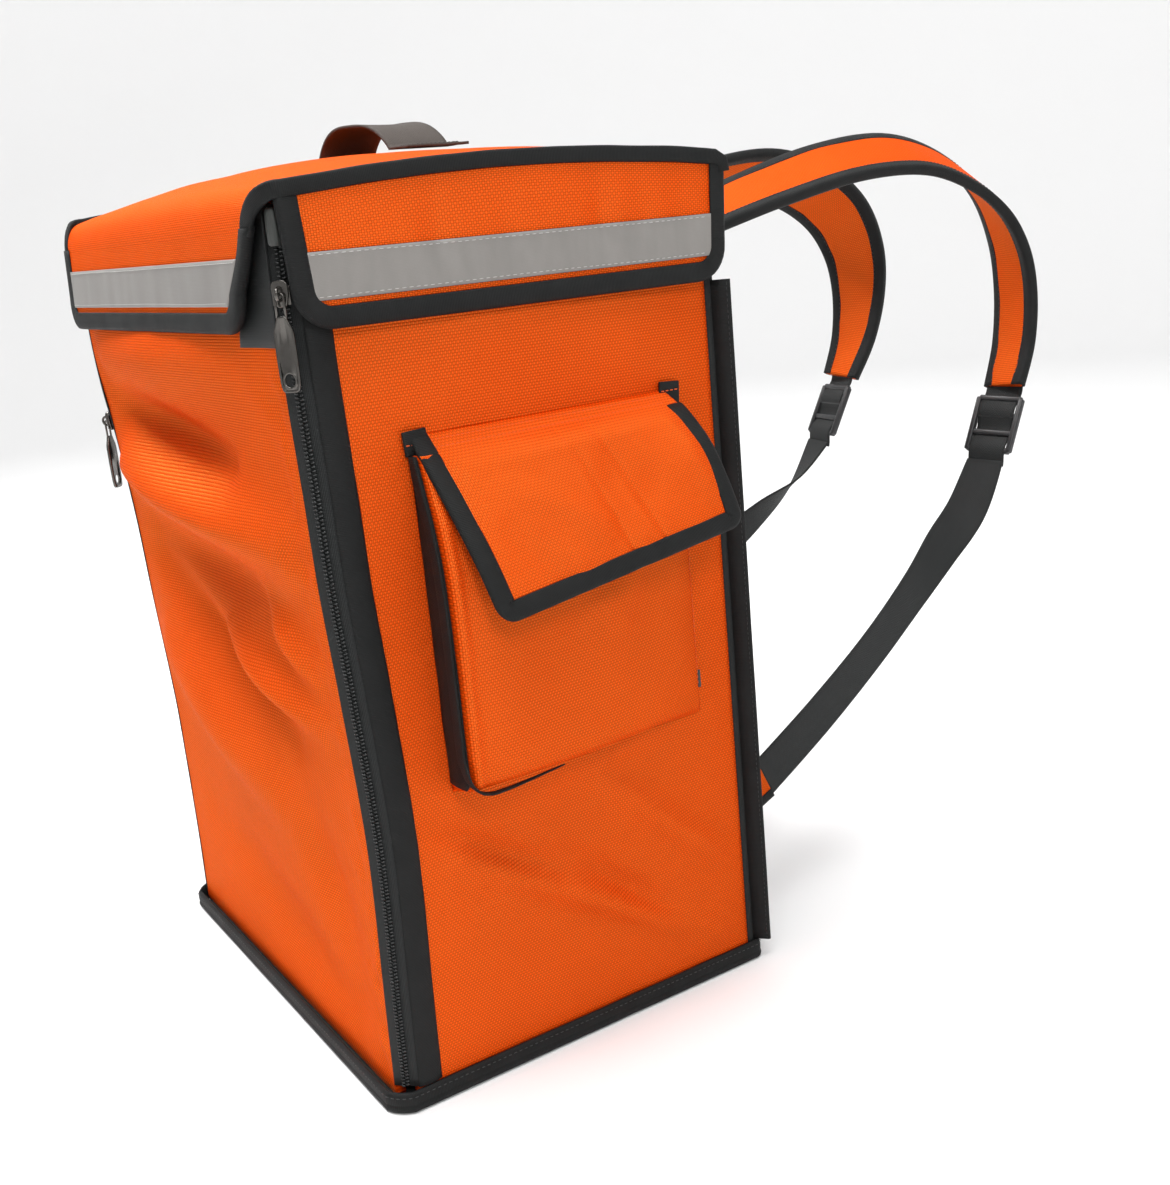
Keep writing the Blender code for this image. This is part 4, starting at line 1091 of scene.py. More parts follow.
def make_lid():
    """Make the lid with its front flap in one cloth, the side flaps and their trim."""
    front_top = HEIGHT - LID_FOLD_DOWN * 0.9
    front = Flap(flap_front, -HALF_WIDTH, HALF_WIDTH, WALL_TOP, FRONT_FLAP_TAPER, FRONT_FLAP_SLANT)
    side_end = HALF_DEPTH + SIDE_FLAP_BACK
    side_top = HEIGHT - 4.0 * MM
    right = Flap(flap_right, -HALF_DEPTH, side_end, side_top, SIDE_FLAP_TAPER)
    left = Flap(flap_left, -side_end, HALF_DEPTH, side_top, SIDE_FLAP_TAPER)

    inset = 2.6 * MM
    lid_half = HALF_WIDTH + LID_REACH - inset
    top_long = 2 * HALF_DEPTH + LID_REACH - LID_FOLD_BACK
    fold_long = LID_FOLD_BACK + LID_FOLD_DOWN * 0.7
    flap_long = FLAP_DROP - LID_FOLD_DOWN - inset
    total = top_long + fold_long + flap_long

    def half_at(t):
        if t <= top_long:
            return lid_half, lid_half
        z = HEIGHT - LID_FOLD_DOWN - max(t - top_long - fold_long, 0.0)
        start, end = front.ends(z, inset)
        share = ease((t - top_long) / fold_long)
        return lerp(lid_half, -start, share), lerp(lid_half, end, share)

    def lid(share, t):
        low_half, high_half = half_at(t)
        x = lerp(-low_half, high_half, share)
        y, z = lid_profile(x, t)
        top = ease((top_long - t) / (40 * MM))
        soft = ripple(x, t, 80 * MM, 60 * MM, 5.5) * 1.6 * MM
        soft += ripple(x, t, 22 * MM, 90 * MM, 6.1) * 0.35 * MM
        soft *= top * edge_fade(share, 0.08) * ease(t / (30 * MM))
        return Vector((x, y, z + soft))

    def chart(share, t):
        low_half, high_half = half_at(t)
        return lerp(-low_half, high_half, share), t

    rows = spaced(0, top_long, 5.5 * MM)[:-1] + spaced(top_long, total - FLAP_CORNER, 2.2 * MM)[:-1]
    rows += spaced(total - FLAP_CORNER, total, 1.4 * MM)
    shape = cloth_grid(spaced(0, 1, 0.0083), rows, lid, chart)
    for face in shape.faces:
        face.normal_flip()
    finish_piece(
        "lid_and_front_flap", shape, "orange_flap", "lid_panel", "lid_flap_front",
        wall=FLAP_THICK, fill=0.5,
    )

    for flap, name, node in ((right, "side_flap_cloth_right", "lid_flap_right"),
                             (left, "side_flap_cloth_left", "lid_flap_left")):

        def side(share, z, flap=flap):
            start, end = flap.ends(z, inset)
            return flap.place(lerp(start, end, share), z, 0.0)

        def side_chart(share, z, flap=flap):
            start, end = flap.ends(z, inset)
            return lerp(start, end, share), z

        heights = spaced(FLAP_LOW + inset, FLAP_LOW + FLAP_CORNER, 1.4 * MM)[:-1]
        heights += spaced(FLAP_LOW + FLAP_CORNER, side_top, 2.4 * MM)
        shape = cloth_grid(spaced(0, 1, 0.0125), heights, side, side_chart)
        finish_piece(name, shape, "orange_flap", node, wall=FLAP_THICK, fill=0.4)

    front.top = front_top
    front.start += FRONT_FLAP_TAPER * (WALL_TOP - front_top) / (WALL_TOP - FLAP_LOW)
    front.end -= FRONT_FLAP_SLANT * (WALL_TOP - front_top) / (WALL_TOP - FLAP_LOW)
    front.taper = FRONT_FLAP_TAPER * (front_top - FLAP_LOW) / (WALL_TOP - FLAP_LOW)
    front.slant = FRONT_FLAP_SLANT * (front_top - FLAP_LOW) / (WALL_TOP - FLAP_LOW)
    for flap, word in ((front, "front"), (right, "right"), (left, "left")):
        flap.binding("flap_tape_" + word, "flap_binding_" + word)
        flap.band("reflective_band_" + word, "reflector_" + word)
        runs = []
        for z in (REFLECTOR_LOW + 1.6 * MM, REFLECTOR_HIGH - 1.6 * MM):
            start, end = flap.ends(z)
            route = []
            for across in spaced(start + BINDING, end - BINDING, 4 * MM):
                drift = ripple(across, z, 60 * MM, 9 * MM, 3.3) * 0.5 * MM
                point = flap.place(across, z + drift, CLEAR + 0.95 * MM)
                out = flap.place(across, z + drift, 5 * MM) - point
                route.append((point, out))
            runs.append((route, 3.3 * MM if flap is front else 4.0 * MM, 0.97 if flap is front else 0.72))
        stitches("band_stitches_" + word, runs, "white_thread", "grey_reflector", radius=0.19 * MM)

    make_lid_seams()


def make_lid_seams():
    """Run the bound seam along both side edges of the lid and into the front flap's ends."""
    section = oval(2.2 * MM, 4.3 * MM, 16)
    for side, word in ((1, "right"), (-1, "left")):
        x = side * (HALF_WIDTH + LID_REACH)
        slant = FRONT_FLAP_SLANT if side > 0 else FRONT_FLAP_TAPER
        rear = [Vector((x, y, HEIGHT - 1.8 * MM)) for y in (HALF_DEPTH + 6.0 * MM, HALF_DEPTH + 2.0 * MM)]
        rear[0].z -= 7.0 * MM
        route = [rear[0], lerp(rear[0], rear[1], 0.5) + Vector((0, 1.5 * MM, 2.0 * MM))]
        for y in spaced(HALF_DEPTH, -HALF_DEPTH + 4 * MM, 5 * MM):
            sway = ripple(y, 0.0, 30 * MM, 1.0, side * 2.0) * 0.5 * MM
            route.append(Vector((x + sway * side * 0.4, y, HEIGHT - 1.8 * MM + lid_arch(y) + sway)))
        last = route[-1]
        low_z = HEIGHT - LID_FOLD_DOWN * 1.05
        share = (WALL_TOP - low_z) / (WALL_TOP - FLAP_LOW)
        end_x = side * (HALF_WIDTH - slant * share - 4.0 * MM)
        end = flap_front(end_x, low_z, -1.0 * MM)
        bend = (last, last + Vector((0, -9 * MM, 0.5 * MM)), end + Vector((side * 3 * MM, 0, 14 * MM)), end)
        for step in spaced(0, 1, 0.1)[1:]:
            parts = [point * weight for point, weight in zip(bend, bend_weights(step))]
            route.append(sum(parts, Vector()))
        stations = []
        for index, point in enumerate(route):
            before = route[max(index - 1, 0)]
            after = route[min(index + 1, len(route) - 1)]
            along = (after - before).normalized()
            turn = ease((-HALF_DEPTH + 2 * MM - point.y) / (11 * MM))
            out = Vector((side * (1 - turn * 0.9), -0.9 * turn, 0))
            out = (out - along * out.dot(along)).normalized()
            stations.append((point, out, out.cross(along), lerp(1.0, 0.8, turn), lerp(1.0, 1.1, turn)))
        shape = swept(section, stations)
        finish_piece("lid_edge_tape_" + word, shape, "binding", "lid_seam_" + word)


def corner_frame(side, z):
    """Return the middle, tangent and outward direction of a zip at a height."""
    root = math.sqrt(0.5)
    y = -HALF_DEPTH + CORNER_CUT / 2 - corner_bow(side * HALF_WIDTH, z)
    middle = Vector((side * (HALF_WIDTH - CORNER_CUT / 2), y, z))
    return middle, Vector((root, side * root, 0)), Vector((side * root, -root, 0))


def make_zips():
    """Make the tapes, coils and corner strips of both zips."""
    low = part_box("zip_chain_right")[0].z
    coil_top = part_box("zip_chain_right")[1].z
    for side, word in ((1, "right"), (-1, "left")):

        def tape(s, z, side=side):
            middle, tangent, outward = corner_frame(side, z)
            near = abs(s) - COIL_WIDTH / 2
            lift = 0.5 * MM - 0.2 * MM * clamp(near / (2.5 * MM))
            return middle + tangent * s + outward * lift

        shape = cloth_grid(
            spaced(-TAPE_WIDTH / 2, TAPE_WIDTH / 2, 0.9 * MM), spaced(low, WALL_TOP, 5 * MM), tape,
        )
        finish_piece("zip_cloth_" + word, shape, "zip_tape", "zip_tape_" + word, wall=0.8 * MM)

        # A black sheet on the front panel beside the zip, under the front flap's slanted end. It is partly
        # the wide black zip tape there, and partly painted shade that stands for the shadow under the flap's
        # corner.
        def corner(s, z, side=side):
            x = side * (HALF_WIDTH - CORNER_CUT + 2.0 * MM - s)
            return Vector((x, front_y(x, z) - 0.6 * MM, z))

        foot = FLAP_LOW - 3.5 * (1 + side) * MM
        shape = cloth_grid(spaced(0, 42 * MM, 2 * MM), spaced(foot, WALL_TOP, 5 * MM), corner)
        finish_piece("corner_cloth_" + word, shape, "zip_tape", wall=0.5 * MM, offset=0.0)

        make_coil(side, word, low, coil_top)
        make_corner_strip(side, word, low)


def make_coil(side, word, low, high):
    """Make the two rows of coil turns."""
    whole = bmesh.new()
    count = int((high - low) / COIL_PITCH)
    for index in range(count):
        z = low + (index + 0.5) * COIL_PITCH
        middle, tangent, outward = corner_frame(side, z)
        for row, shift in ((-1, 0.0), (1, 0.5)):
            spot = middle + tangent * row * 1.25 * MM + outward * 1.7 * MM
            spot.z += shift * COIL_PITCH
            lean = math.radians(14 * row)
            turn = Matrix((tangent, Vector((0, 0, 1)), outward)).transposed().to_4x4()
            size = Matrix.Diagonal((1.55 * MM, 0.72 * MM, 0.95 * MM, 1))
            matrix = Matrix.Translation(spot) @ turn @ Matrix.Rotation(lean, 4, "Z") @ size
            bmesh.ops.create_icosphere(whole, subdivisions=1, radius=1.0, matrix=matrix)
    finish_piece("zip_coil_" + word, whole, "coil", "zip_chain_" + word)


def make_corner_strip(side, word, low):
    """Sew the smooth black strip along the side panel behind the zip."""

    def strip(s, z):
        share = s / CORNER_STRIP
        start = -HALF_DEPTH + CORNER_CUT - corner_bow(side * HALF_WIDTH, z) - 0.6 * MM
        crown = 1.3 * MM * math.sin(math.pi * clamp(share)) ** 0.7
        wave = ripple(s, z, 12 * MM, 18 * MM, 3.0 + side) * 0.25 * MM
        along = share if side > 0 else 1 - share
        return Vector((side * (HALF_WIDTH + 0.9 * MM + crown + wave), start + along * CORNER_STRIP, z))

    shape = cloth_grid(spaced(0, CORNER_STRIP, 1.5 * MM), spaced(low, WALL_TOP, 4 * MM), strip)
    finish_piece("corner_tape_" + word, shape, "binding", "corner_binding_" + word, wall=0.8 * MM)


def make_base_tape():
    """Run the folded tape round the foot of the walls."""
    reach_x = HALF_WIDTH + 1.1 * MM
    reach_y = HALF_DEPTH + 1.1 * MM
    corners = (
        (reach_x, -reach_y, CORNER_CUT),
        (reach_x, reach_y, 2.0 * MM),
        (-reach_x, reach_y, 2.0 * MM),
        (-reach_x, -reach_y, CORNER_CUT),
    )
    route = []
    for index, (x, y, cut) in enumerate(corners):
        corner = Vector((x, y, 0))
        before = (corner - Vector((*corners[index - 1][:2], 0))).normalized()
        after = (Vector((*corners[(index + 1) % 4][:2], 0)) - corner).normalized()
        first = corner - before * cut
        last = corner + after * cut
        turn_in = Vector((before.y, -before.x, 0))
        turn_out = Vector((after.y, -after.x, 0))
        for share in (0.0, 0.2, 0.4, 0.6, 0.8, 1.0):
            soft = lerp(lerp(first, corner, share), lerp(corner, last, share), share)
            straight = lerp(first, last, share)
            spot = lerp(straight, soft, 0.35)
            route.append((spot, lerp(turn_in, turn_out, share).normalized()))
        following = corners[(index + 1) % 4]
        far = Vector((following[0], following[1], 0)) - after * following[2]
        for share in spaced(0.0, 1.0, 9 * MM / (far - last).length)[1:-1]:
            route.append((lerp(last, far, share), turn_out))
    stations = []
    for spot, out in route + route[:1]:
        sway = ripple(spot.x, spot.y, 26 * MM, 26 * MM, 1.3) * 0.35 * MM
        stations.append((spot + out * sway * 0.5 + Vector((0, 0, sway)), out, Vector((0, 0, 1))))
    section = (
        (0.0, 0.8), (1.6, 0.6), (2.5, 1.4), (2.9, 3.0), (2.7, 4.6), (2.3, 5.2),
        (2.5, 6.0), (2.6, 9.0), (2.2, 11.6), (1.3, 12.9), (0.0, 13.0),
    )
    section = [(a * MM, b * MM) for a, b in section]
    shape = swept(section, stations, closed=True)
    finish_piece("base_edge_tape", shape, "binding", "base_binding")
    route_up = [(point + out * 2.75 * MM + Vector((0, 0, 10.6 * MM)), out) for point, out, _ in stations]
    stitches("base_tape_stitches", [(route_up, 3.6 * MM, 0.7)], "black_thread", "black_binding")


def make_back_flanges():
    """Stand the bound seam out of each rear corner."""
    root = math.sqrt(0.5)
    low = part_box("back_seam_right")[0].z
    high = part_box("back_seam_right")[1].z
    section = (
        (-2.5, -1.2), (5.0, -1.5), (9.2, -1.4), (10.2, -0.8), (10.3, 0.0),
        (10.2, 0.8), (9.2, 1.4), (5.0, 1.5), (-2.5, 1.2),
    )
    section = [(a * MM, b * MM) for a, b in section]
    for side, word in ((1, "right"), (-1, "left")):
        stations = []
        for z in spaced(low, high, 6 * MM):
            turn = ripple(z, side, 50 * MM, 1.0, 4.1) * 0.12
            out = Vector((side * root, root, 0))
            flat = Vector((root, -side * root, 0))
            along = (out * math.cos(turn) + flat * math.sin(turn)).normalized()
            across = Vector((0, 0, 1)).cross(along)
            stations.append((Vector((side * HALF_WIDTH, HALF_DEPTH, z)), along, across))
        shape = swept(section, stations)
        finish_piece("back_flange_" + word, shape, "binding", "back_seam_" + word)
        runs = []
        for face in (-1, 1):
            runs.append(([(point + along * 8.2 * MM + across * face * 1.5 * MM, across * face)
                          for point, along, across in stations], 3.2 * MM, 0.75))
        stitches("flange_stitches_" + word, runs, "black_thread", "black_binding", radius=0.18 * MM)


def make_sleeve(word):
    """Cap the top of a zip with its ribbed sleeve."""
    low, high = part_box("zip_sleeve_" + word)
    middle = (low + high) / 2
    rings = ((0.0, 0.62), (0.03, 0.84), (0.10, 0.95), (0.45, 1.0), (0.80, 0.92), (0.93, 0.78), (1.0, 0.5))
    count = 36

    def at(turn, index):
        share, wide = rings[int(round(index))]
        angle = 2 * math.pi * turn
        radius = 3.5 * MM * wide * (1 + 0.05 * math.cos(angle * 12))
        return Vector((
            middle.x + radius * math.cos(angle),
            middle.y + radius * math.sin(angle),
            lerp(low.z, high.z, share),
        ))

    shape = cloth_grid(spaced(0, 1, 1 / count), [float(i) for i in range(len(rings))], at)
    bmesh.ops.remove_doubles(shape, verts=shape.verts, dist=1e-7)
    rims = [edge for edge in shape.edges if edge.is_boundary]
    bmesh.ops.holes_fill(shape, edges=rims, sides=0)
    bmesh.ops.recalc_face_normals(shape, faces=shape.faces)
    finish_piece("sleeve_" + word, shape, "sleeve", "zip_sleeve_" + word)


def make_slider(side, word, drop):
    """Make a slider with its arched bail, and the pull that swings on it."""
    z = HEIGHT - drop
    middle, tangent, outward = corner_frame(side, z)
    rise = 4.2 * MM
    seat = 0.42
    stand = 5 * CLEAR + 2.2 * MM + 3.0 * MM + rise * seat
    axis = middle + outward * stand
    frame_turn = Matrix((
        (tangent.x, outward.x, 0, axis.x),
        (tangent.y, outward.y, 0, axis.y),
        (tangent.z, outward.z, 1, axis.z),
        (0, 0, 0, 1),
    ))
    if frame_turn.to_3x3().determinant() < 0:
        frame_turn = frame_turn @ Matrix.Diagonal((-1, 1, 1, 1))
    deck_top = -rise * seat

    deck = bmesh.new()
    bmesh.ops.create_circle(deck, cap_ends=True, segments=28, radius=1.0)
    for vertex in deck.verts:
        angle = math.atan2(vertex.co.y, vertex.co.x)
        up = squared(math.sin(angle)) * 6.5 * MM
        wide = lerp(3.1, 4.5, ease((up / MM + 6.5) / 9.0)) * MM
        vertex.co = Vector((squared(math.cos(angle)) * wide, deck_top, up))
    grown = bmesh.ops.extrude_face_region(deck, geom=deck.faces[:])
    lifted = [item for item in grown["geom"] if isinstance(item, bmesh.types.BMVert)]
    bmesh.ops.translate(deck, vec=(0, -3.0 * MM, 0), verts=lifted)
    bmesh.ops.recalc_face_normals(deck, faces=deck.faces)
    rims = [edge for edge in deck.edges if edge.calc_face_angle(0) > 0.9]
    bmesh.ops.bevel(deck, geom=rims, offset=0.55 * MM, segments=2, profile=0.5, affect="EDGES", material=-1)
    spot = Matrix.Translation((0, deck_top - 1.6 * MM, -0.8 * MM))
    groove = round_box((9.4 * MM, 0.9 * MM, 9.0 * MM), spot, 0.2 * MM)

    arch = []
    for index in range(13):
        angle = math.pi * index / 12
        stand = deck_top - 0.4 * MM + 4.9 * MM * squared(math.sin(angle))
        arch.append(Vector((0, stand, 3.0 * MM * math.cos(angle))))
    bail = round_route(arch, Vector((1, 0, 0)), 0.95 * MM, 0.8 * MM)
    shape = merge((deck, groove, bail))
    bmesh.ops.transform(shape, matrix=frame_turn, verts=shape.verts)
    finish_piece("slider_" + word, shape, "metal", "zip_slider_" + word)

    top = -10.5 * MM
    low = -47.0 * MM
    hole_z = low + 5.9 * MM
    half = 5.2 * MM

    def outline(angle):
        x = squared(math.cos(angle), 0.32)
        y = squared(math.sin(angle), 0.32)
        up = lerp(low, top, (y + 1) / 2)
        share = (up - low) / (top - low)
        wide = half * (0.95 + 0.05 * math.sin(math.pi * share))
        if share > 0.78:
            wide = lerp(wide, 3.2 * MM, ease((share - 0.78) / 0.2))
        return Vector((x * wide, 0, up))

    tab = bmesh.new()
    outer = bmesh.ops.create_circle(tab, segments=48, radius=1.0)["verts"]
    for vertex in outer:
        vertex.co = outline(math.atan2(vertex.co.y, vertex.co.x))
    inner = bmesh.ops.create_circle(tab, segments=48, radius=1.0)["verts"]
    for vertex in inner:
        vertex.co = Vector((vertex.co.x * 2.7 * MM, 0, hole_z + vertex.co.y * 3.3 * MM))
    bmesh.ops.bridge_loops(tab, edges=tab.edges[:])
    bmesh.ops.recalc_face_normals(tab, faces=tab.faces)
    if sum(face.normal.y for face in tab.faces) < 0:
        bmesh.ops.reverse_faces(tab, faces=tab.faces[:])
    grown = bmesh.ops.extrude_face_region(tab, geom=tab.faces[:])
    lifted = [item for item in grown["geom"] if isinstance(item, bmesh.types.BMVert)]
    raised = [item for item in grown["geom"] if isinstance(item, bmesh.types.BMFace)]
    bmesh.ops.translate(tab, vec=(0, 0.8 * MM, 0), verts=lifted)
    base = [vertex for vertex in tab.verts if vertex.co.y < 0.1 * MM]
    bmesh.ops.translate(tab, vec=(0, -0.8 * MM, 0), verts=base)
    for rim, deep in ((0.9 * MM, 0.0), (0.35 * MM, -0.45 * MM)):
        bmesh.ops.inset_region(
            tab, faces=raised, thickness=rim, depth=deep, use_boundary=True, use_even_offset=True,
        )
    bmesh.ops.recalc_face_normals(tab, faces=tab.faces)

    bend = 1.2 * MM
    arm = 2.25 * MM
    loop = [Vector((-arm, 0, top - 1.0 * MM)), Vector((-arm, 0, top / 2)), Vector((-arm, 0, -bend))]
    for index in range(1, 6):
        angle = math.pi / 2 * index / 5
        loop.append(Vector((-arm + bend * (1 - math.cos(angle)), 0, -bend + bend * math.sin(angle))))
    loop += [Vector((-point.x, 0, point.z)) for point in reversed(loop)]
    hook = round_route(loop, Vector((0, 1, 0)), 0.68 * MM, 0.68 * MM)
    shape = merge((tab, hook))
    bmesh.ops.transform(shape, matrix=frame_turn, verts=shape.verts)
    finish_piece("pull_" + word, shape, "metal", "zip_pull_" + word, body=word + "_pull")


def round_route(points, side, half_side, half_out):
    """Sweep an oval bar along points that stay across one direction."""
    section = oval(half_side, half_out, 10, 1.0, 1.0)
    stations = []
    for index, point in enumerate(points):
        along = (points[min(index + 1, len(points) - 1)] - points[max(index - 1, 0)]).normalized()
        stations.append((point, side, side.cross(along).normalized()))
    return swept(section, stations)


def pocket_face(share, z, stand=0.0):
    """Return a point on the pocket's front."""
    y = POCKET_SHIFT + (share - 0.5) * POCKET_WIDTH
    fall = column(POCKET_FALL, (z - POCKET_BOTTOM) / POCKET_HEIGHT)
    swell = column(POCKET_SWELL, share) * POCKET_DEPTH
    base = right_x(y, z) + CLEAR + POCKET_WALL
    calm = edge_fade(share, 0.07) * ease((z - POCKET_BOTTOM) / (12 * MM))
    crease = fold(POCKET_FOLDS, y, z, MM, MM) * MM
    crease += ripple(y + z * 0.6, z, 24 * MM, 40 * MM, 7.9) * 0.8 * MM
    return Vector((base + swell * fall + crease * calm + stand, y, z))


def flap_face(across, down):
    """Return a point on the middle of the pocket flap's cloth."""
    lift_front = column(FLAP_SWELL, down, 1)
    lift_rear = column(FLAP_SWELL, down, 2)
    lift = lerp(lift_front, lift_rear, across) * FLAP_LIFT
    y = FLAP_SHIFT + FLAP_SKEW * down + (across - 0.5) * FLAP_WIDE
    z = POCKET_FLAP_TOP - down * FLAP_LONG + (across - 0.5) * lerp(1, 21, down) * MM
    calm = edge_fade(across, 0.12) * ease(down / 0.15) * ease((1 - down) / 0.15)
    puff = 8.5 * MM * math.sin(math.pi * clamp(across)) ** 0.7
    puff *= ease(down / 0.2) * (1.15 - clamp(down)) ** 1.3
    soft = ripple(across, down, 0.20, 0.42, 3.7) * 2.0 * MM + ripple(across, down, 0.09, 0.2, 9.2) * 0.7 * MM
    soft += fold(POCKET_FLAP_FOLDS, y, z, MM, MM) * MM
    seam = 0.0
    for top, low in POCKET_FLAP_SEAMS:
        seam += math.exp(-((across - lerp(top, low, down)) / 0.008) ** 2)
    stand = CLEAR + lift + (puff + soft) * calm - seam * 1.0 * MM * ease(down / 0.1)
    return Vector((right_x(y, z) + stand, y, z))


def flap_frame(across, down):
    """Return a point of the pocket flap with its outward direction."""
    step = 0.035
    here = flap_face(across, down)
    over = flap_face(across + step, down) - flap_face(across - step, down)
    under = flap_face(across, min(down + step, 1)) - flap_face(across, max(down - step, 0))
    return here, -over.cross(under).normalized()


def make_pocket():
    """Make the bellows pocket, its flap, their tapes and the end tabs."""
    shares = spaced(0, 0.012, 0.003)[:-1] + spaced(0.012, 0.06, 0.008)[:-1]
    shares += spaced(0.06, 0.98, 0.012)[:-1] + spaced(0.98, 1.0, 0.005)
    top_share = POCKET_FALL[-1][0]
    heights = [0.0, 0.004, 0.009, 0.015, 0.022] + spaced(0.03, top_share, 0.0125)
    rows = [POCKET_BOTTOM + POCKET_HEIGHT * height for height in heights]

    def chart(share, z):
        return share * POCKET_WIDTH, z

    shape = cloth_grid(shares, rows, pocket_face, chart)
    finish_piece("pocket_cloth", shape, "orange", "pocket_body", wall=POCKET_WALL)

    front_y_at = POCKET_SHIFT - POCKET_WIDTH / 2 - CLEAR
    z_high = POCKET_BOTTOM + POCKET_HEIGHT * 0.985
    z_low = POCKET_BOTTOM + POCKET_HEIGHT * 0.03

    def gusset(share, z):
        fall = column(POCKET_FALL, (z - POCKET_BOTTOM) / POCKET_HEIGHT)
        sway = ripple(share, z, 0.6, 30 * MM, 5.1) * 0.5 * MM
        y = front_y_at - 0.8 * MM * math.sin(math.pi * share) - sway
        root = right_x(y, z) + 2 * CLEAR
        return Vector((lerp(root, root + POCKET_DEPTH * fall * 0.93, share), y, z))

    def gusset_chart(share, z):
        return share * POCKET_DEPTH, z

    shape = cloth_grid(spaced(0, 1, 0.125), spaced(z_low, z_high, 4 * MM), gusset, gusset_chart)
    finish_piece("pocket_gusset", shape, "binding", "pocket_binding", wall=0.9 * MM)

    section = oval(0.8 * MM, 4.6 * MM, 14)
    stations = []
    for z in spaced(z_high, POCKET_BOTTOM + 24 * MM, 5 * MM):
        face = gusset(1.0, z)
        size = clamp((face.x - right_x(face.y, z)) / (11 * MM), 0.35, 1.0)
        stations.append((Vector((face.x - 3.2 * MM * size, front_y_at - 1.4 * MM, z)), Vector((0, -1, 0)),
                         Vector((1, 0, 0)), 1.0, size))
    corner = Vector((front_y_at + 16 * MM, POCKET_BOTTOM + 20 * MM))
    for index in range(1, 10):
        angle = math.pi / 2 * index / 9
        y = corner.x - 17.4 * MM * math.cos(angle)
        z = corner.y - 18.6 * MM * math.sin(angle)
        share = clamp((y - POCKET_SHIFT) / POCKET_WIDTH + 0.5, 0.015)
        x = pocket_face(max(share, 0.03), POCKET_BOTTOM + 9 * MM).x
        out = Vector((0, -math.cos(angle), -math.sin(angle)))
        spot = Vector((x - 2.4 * MM, y, z))
        stations.append((spot, out, Vector((1, 0, 0)), 0.9, lerp(0.95, 0.42, index / 9)))
    for y in spaced(corner.x, front_y_at + 62 * MM, 5 * MM)[1:]:
        share = (y - POCKET_SHIFT) / POCKET_WIDTH + 0.5
        fade = (y - corner.x) / (46 * MM)
        x = pocket_face(share, POCKET_BOTTOM + 9 * MM).x
        low_z = POCKET_BOTTOM + lerp(1.4, 3.4, fade) * MM
        spot = Vector((x - lerp(2.4, 4.5, fade) * MM, y, low_z))
        sizes = (lerp(0.9, 0.5, fade), lerp(0.42, 0.12, fade))
        stations.append((spot, Vector((0, 0, -1)), Vector((1, 0, 0)), *sizes))
    shape = swept(section, stations)
    finish_piece("pocket_edge_tape", shape, "binding")

    route = []
    for z in spaced(POCKET_BOTTOM + 20 * MM, POCKET_BOTTOM + 150 * MM, 5 * MM):
        route.append((pocket_face(0.975, z, 0.5 * MM), Vector((1, 0, 0))))
    stitches("pocket_stitches", [(route, 3.2 * MM, 0.8)], "orange_thread", "orange_nylon")
    bit = pocket_face(0.985, POCKET_BOTTOM + 23 * MM)
    spot = Matrix.Translation(bit + Vector((0.8 * MM, 0, 0)))
    shape = round_box((1.2 * MM, 2.2 * MM, 11 * MM), spot, 0.4 * MM)
    finish_piece("pocket_bar_tack", shape, "black_thread", slot="black_binding")
    make_pocket_flap()


